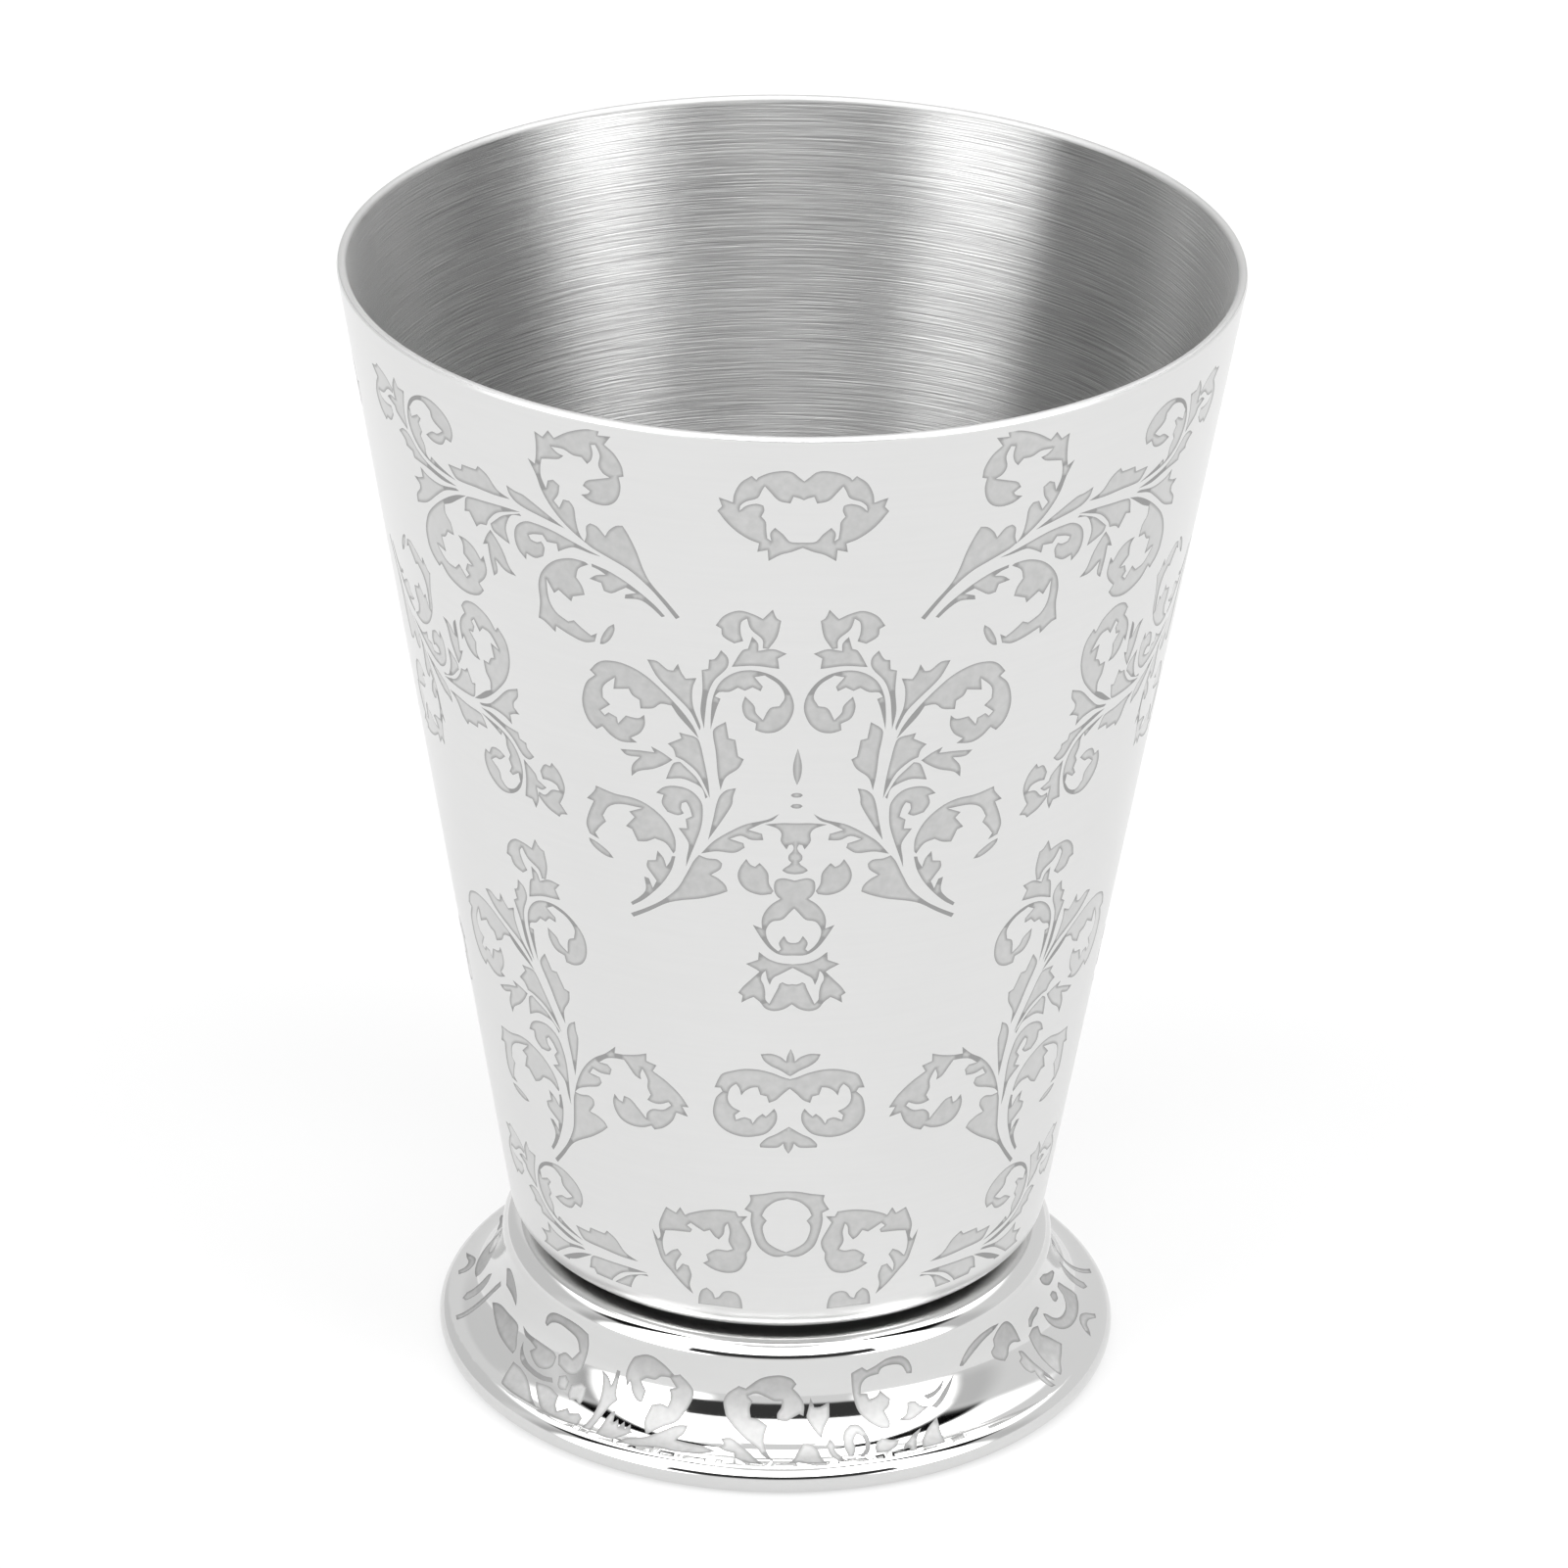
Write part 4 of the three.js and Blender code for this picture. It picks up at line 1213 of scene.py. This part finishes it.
# The etched flare over half a turn, flat as distance round and distance up from the lip.
def etchedFlare(flare, flareLength):
    half = foot["segments"] // 2
    around = foot["meanRadius"]
    scale = flareLength / (foot["flareTo"] - foot["flareFrom"])
    reach = math.pi / 2 * around
    rows, columns = foot["panelRows"], 2 * half
    border = [(-reach + 2 * reach * i / half, 0.0) for i in range(half + 1)]
    border += [(reach, flareLength * i / rows) for i in range(1, rows)]
    border += [(reach - 2 * reach * i / half, flareLength) for i in range(half + 1)]
    border += [(-reach, flareLength * (rows - i) / rows) for i in range(1, rows)]
    spread = []
    for row in range(1, rows):
        for column in range(columns):
            x = -reach + 2 * reach * (column + setOver(row)) / columns
            spread.append((x, flareLength * row / rows))
    outlines = []
    for points in footOutlines.values():
        unrolled = [(math.radians(angle) * around, flareLength - (down - foot["flareFrom"]) * scale)
                    for angle, down in points]
        outlines.append(smoothOutline(unrolled, etching["step"]))
    seams = [((-reach, 0.0), (-reach, flareLength)), ((reach, 0.0), (reach, flareLength))]
    flat, triangles, etched, depth, paintedEdgeShade = etchedPanel(border, seams, outlines, spread)
    places = [(point.x / around, point.y * mm, 0.0) for point in flat]
    return wrappedPanel("flarePanel", places, triangles, (etched, depth, paintedEdgeShade), flare, False,
                        "polishedSteel", "etchedFootSteel")


def makeFoot():
    neck = foot["neckDiameter"] / 2
    shoulder = foot["shoulder"]
    shoulderZ = foot["height"] - shoulder
    lip = foot["lipHeight"] / 2
    lipX = foot["diameter"] / 2 - lip
    crease = foot["lipCrease"]
    flareEnd = (lipX + lip * math.cos(crease), lip + lip * math.sin(crease))
    wide, drop = flareEnd[0] - neck, shoulderZ - flareEnd[1]
    hem = lipX - foot["restingFlat"]
    shoulderArc = arcPoints(neck - shoulder, shoulderZ, shoulder, shoulder, math.pi / 2, 0.0,
                            foot["shoulderSteps"])
    flare = arcPoints(flareEnd[0], shoulderZ, wide, drop, 1.5 * math.pi, math.pi, foot["flareSteps"])
    lipArc = arcPoints(lipX, lip, lip, lip, crease, -math.pi / 2, foot["lipSteps"])
    plate = [(0.0, foot["height"])] + straightRun((0.0, foot["height"]), shoulderArc[0])
    outerLine = plate + shoulderArc
    innerWide, innerDrop = wide + foot["sheet"], drop + foot["sheet"]
    hemAngle = math.pi + math.acos((flareEnd[0] - hem) / innerWide)
    innerFlare = arcPoints(flareEnd[0], shoulderZ, innerWide, innerDrop, hemAngle, math.pi,
                           foot["innerFlareSteps"])
    innerRound = max(shoulder - foot["sheet"], foot["sheet"] / 4)
    innerX = neck - foot["sheet"] - innerRound
    innerZ = foot["height"] - foot["sheet"]
    innerArc = arcPoints(innerX, innerZ - innerRound, innerRound, innerRound, 0.0, math.pi / 2,
                         foot["innerShoulderSteps"])
    lipLine = lipArc + [(hem, 0.0)]
    innerLine = [(hem, 0.0)] + straightRun((hem, 0.0), innerFlare[0]) + innerFlare + innerArc[1:]
    innerLine += straightRun(innerArc[-1], (0.0, innerZ)) + [(0.0, innerZ)]
    count = foot["segments"]
    flareLength = sum(math.dist(a, b) for a, b in zip(flare, flare[1:]))
    shells = [
        etchedFlare(flare, flareLength),
        turnedShell("footOutside", outerLine, "polishedSteel", count),
        turnedShell("footLip", lipLine, "polishedSteel", count),
        turnedShell("footInside", innerLine, "undersideSteel", count),
    ]
    return joinPiece("etchedFoot", shells, ["polishedSteel", "etchedFootSteel", "undersideSteel"])


etchedFoot = makeFoot()
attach(etchedFoot, "root")
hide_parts("foot")
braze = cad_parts["braze_ring"]
braze.data.materials.clear()
braze.data.materials.append(finishOf["brazeMetal"])
print("foot and braze made")


# Stage, light and camera

studio = {
    "cameraAt": (-0.01995, -0.61107, 0.3614),  # metres
    "heading": math.radians(1.87),
    "pitch": math.radians(26.344),
    "roll": math.radians(0.926),
    "lens": 165.9,
    "sensor": 36.0,
    "clipStart": 0.01,
    "roomLight": 0.92,
    "floorReach": 6.0,
    "floorGrey": 0.155,
    "floorGlow": 0.63,
}


def makeFloor():
    mesh = bpy.data.meshes.new("floor")
    work = bmesh.new()
    bmesh.ops.create_grid(work, x_segments=8, y_segments=8, size=studio["floorReach"])
    work.to_mesh(mesh)
    work.free()
    floor = bpy.data.objects.new("floor", mesh)
    bpy.context.scene.collection.objects.link(floor)
    material = bpy.data.materials.new("paleFloor")
    material.use_nodes = True
    shader = material.node_tree.nodes["Principled BSDF"]
    shader.inputs["Base Color"].default_value = (*[studio["floorGrey"]] * 3, 1.0)
    shader.inputs["Roughness"].default_value = 1.0
    shader.inputs["Specular IOR Level"].default_value = 0.0
    shader.inputs["Emission Color"].default_value = (1.0, 1.0, 1.0, 1.0)
    shader.inputs["Emission Strength"].default_value = studio["floorGlow"]
    mesh.materials.append(material)


def smoothStep(tree, value, middle, soft, before, after):
    step = tree.nodes.new("ShaderNodeMapRange")
    step.interpolation_type = "SMOOTHSTEP"
    step.inputs["From Min"].default_value = middle - soft
    step.inputs["From Max"].default_value = middle + soft
    step.inputs["To Min"].default_value = before
    step.inputs["To Max"].default_value = after
    tree.links.new(value, step.inputs["Value"])
    return step.outputs[0]


def smoothWindow(tree, value, low, high, soft):
    rise = smoothStep(tree, value, low, soft, 0.0, 1.0)
    fall = smoothStep(tree, value, high, soft, 1.0, 0.0)
    return mathNode(tree, "MULTIPLY", rise, fall)


# The room round the cup, as windows of azimuth from the camera and elevation, in degrees. Later ones cover
# earlier ones.
roomPanels = {
    "leftBack": {"azimuth": (-152, -98), "elevation": (45, 85), "soft": 8.0, "light": 4.2},
    "leftWall": {"azimuth": (-155, -96), "elevation": (-5, 45), "soft": 6.0, "light": 0.8},
    "rightBack": {"azimuth": (100, 150), "elevation": (45, 85), "soft": 8.0, "light": 5.4},
    "leftFlag": {"azimuth": (-93, -70), "elevation": (40, 95), "soft": 3.0, "light": 0.0},
    "leftEdge": {"azimuth": (-84, -70), "elevation": (2, 40), "soft": 8.0, "light": 0.55},
    "rightFlag": {"azimuth": (70, 95), "elevation": (40, 95), "soft": 3.5, "light": 0.0},
    "rightEdge": {"azimuth": (70, 92), "elevation": (2, 40), "soft": 8.0, "light": 0.7},
    "leftCard": {"azimuth": (-69, -28), "elevation": (2, 30), "soft": 2.5, "sideSoft": 8.0, "light": 6.0},
    "rightCard": {"azimuth": (35, 69), "elevation": (2, 30), "soft": 2.5, "sideSoft": 8.0, "light": 5.8},
    "leftCardTop": {"azimuth": (-69, -28), "elevation": (30, 72),
                    "soft": 2.5, "sideSoft": 8.0, "light": 7.8},
    "rightCardTop": {"azimuth": (35, 69), "elevation": (30, 72),
                     "soft": 2.5, "sideSoft": 8.0, "light": 10.0},
    "frontBox": {"azimuth": (-36, 42), "elevation": (27, 68), "soft": 2.0, "light": 2.6},
    "frontCore": {"azimuth": (-21, 25), "elevation": (29, 66), "soft": 5.0, "light": 6.4},
    "frontGap": {"azimuth": (-35, 41), "elevation": (8, 27), "soft": 1.5, "light": 0.05},
}


def makeWorld():
    world = bpy.data.worlds.new("studioRoom")
    bpy.context.scene.world = world
    world.use_nodes = True
    tree = world.node_tree
    background = tree.nodes["Background"]
    coords = tree.nodes.new("ShaderNodeTexCoord")
    split = tree.nodes.new("ShaderNodeSeparateXYZ")
    tree.links.new(coords.outputs["Generated"], split.inputs[0])
    elevation = mathNode(tree, "DEGREES", mathNode(tree, "ARCSINE", split.outputs[2]))
    forward = mathNode(tree, "MULTIPLY", split.outputs[1], -1.0)
    azimuth = mathNode(tree, "DEGREES", mathNode(tree, "ARCTAN2", split.outputs[0], forward))
    azimuth = mathNode(tree, "ADD", azimuth, math.degrees(studio["heading"]))
    light = studio["roomLight"]
    for panel in roomPanels.values():
        sideSoft = panel.get("sideSoft", panel["soft"])
        mask = mathNode(tree, "MULTIPLY", smoothWindow(tree, azimuth, *panel["azimuth"], sideSoft),
                        smoothWindow(tree, elevation, *panel["elevation"], panel["soft"]))
        mix = tree.nodes.new("ShaderNodeMix")
        tree.links.new(mask, mix.inputs["Factor"])
        if isinstance(light, float):
            mix.inputs["A"].default_value = light
        else:
            tree.links.new(light, mix.inputs["A"])
        mix.inputs["B"].default_value = panel["light"]
        light = mix.outputs["Result"]
    tree.links.new(light, background.inputs["Strength"])
    background.inputs["Color"].default_value = (1.0, 1.0, 1.0, 1.0)


def makeCamera():
    heading, pitch, roll = studio["heading"], studio["pitch"], studio["roll"]
    level = math.cos(pitch)
    forward = Vector((math.sin(heading) * level, math.cos(heading) * level, -math.sin(pitch)))
    right = Vector((math.cos(heading), -math.sin(heading), 0.0))
    up = right.cross(forward)
    rolledRight = right * math.cos(roll) + up * math.sin(roll)
    rolledUp = up * math.cos(roll) - right * math.sin(roll)
    data = bpy.data.cameras.new("camera")
    data.sensor_width = studio["sensor"]
    data.lens = studio["lens"]
    data.clip_start = studio["clipStart"]
    camera = bpy.data.objects.new("camera", data)
    axes = Matrix((rolledRight, rolledUp, -forward)).transposed().to_4x4()
    camera.matrix_world = Matrix.Translation(studio["cameraAt"]) @ axes
    bpy.context.scene.collection.objects.link(camera)
    bpy.context.scene.camera = camera


makeFloor()
makeWorld()
makeCamera()
bpy.context.scene.view_settings.view_transform = "Standard"
bpy.context.scene.view_settings.look = "None"
print("stage, light and camera made")

bpy.context.view_layer.update()
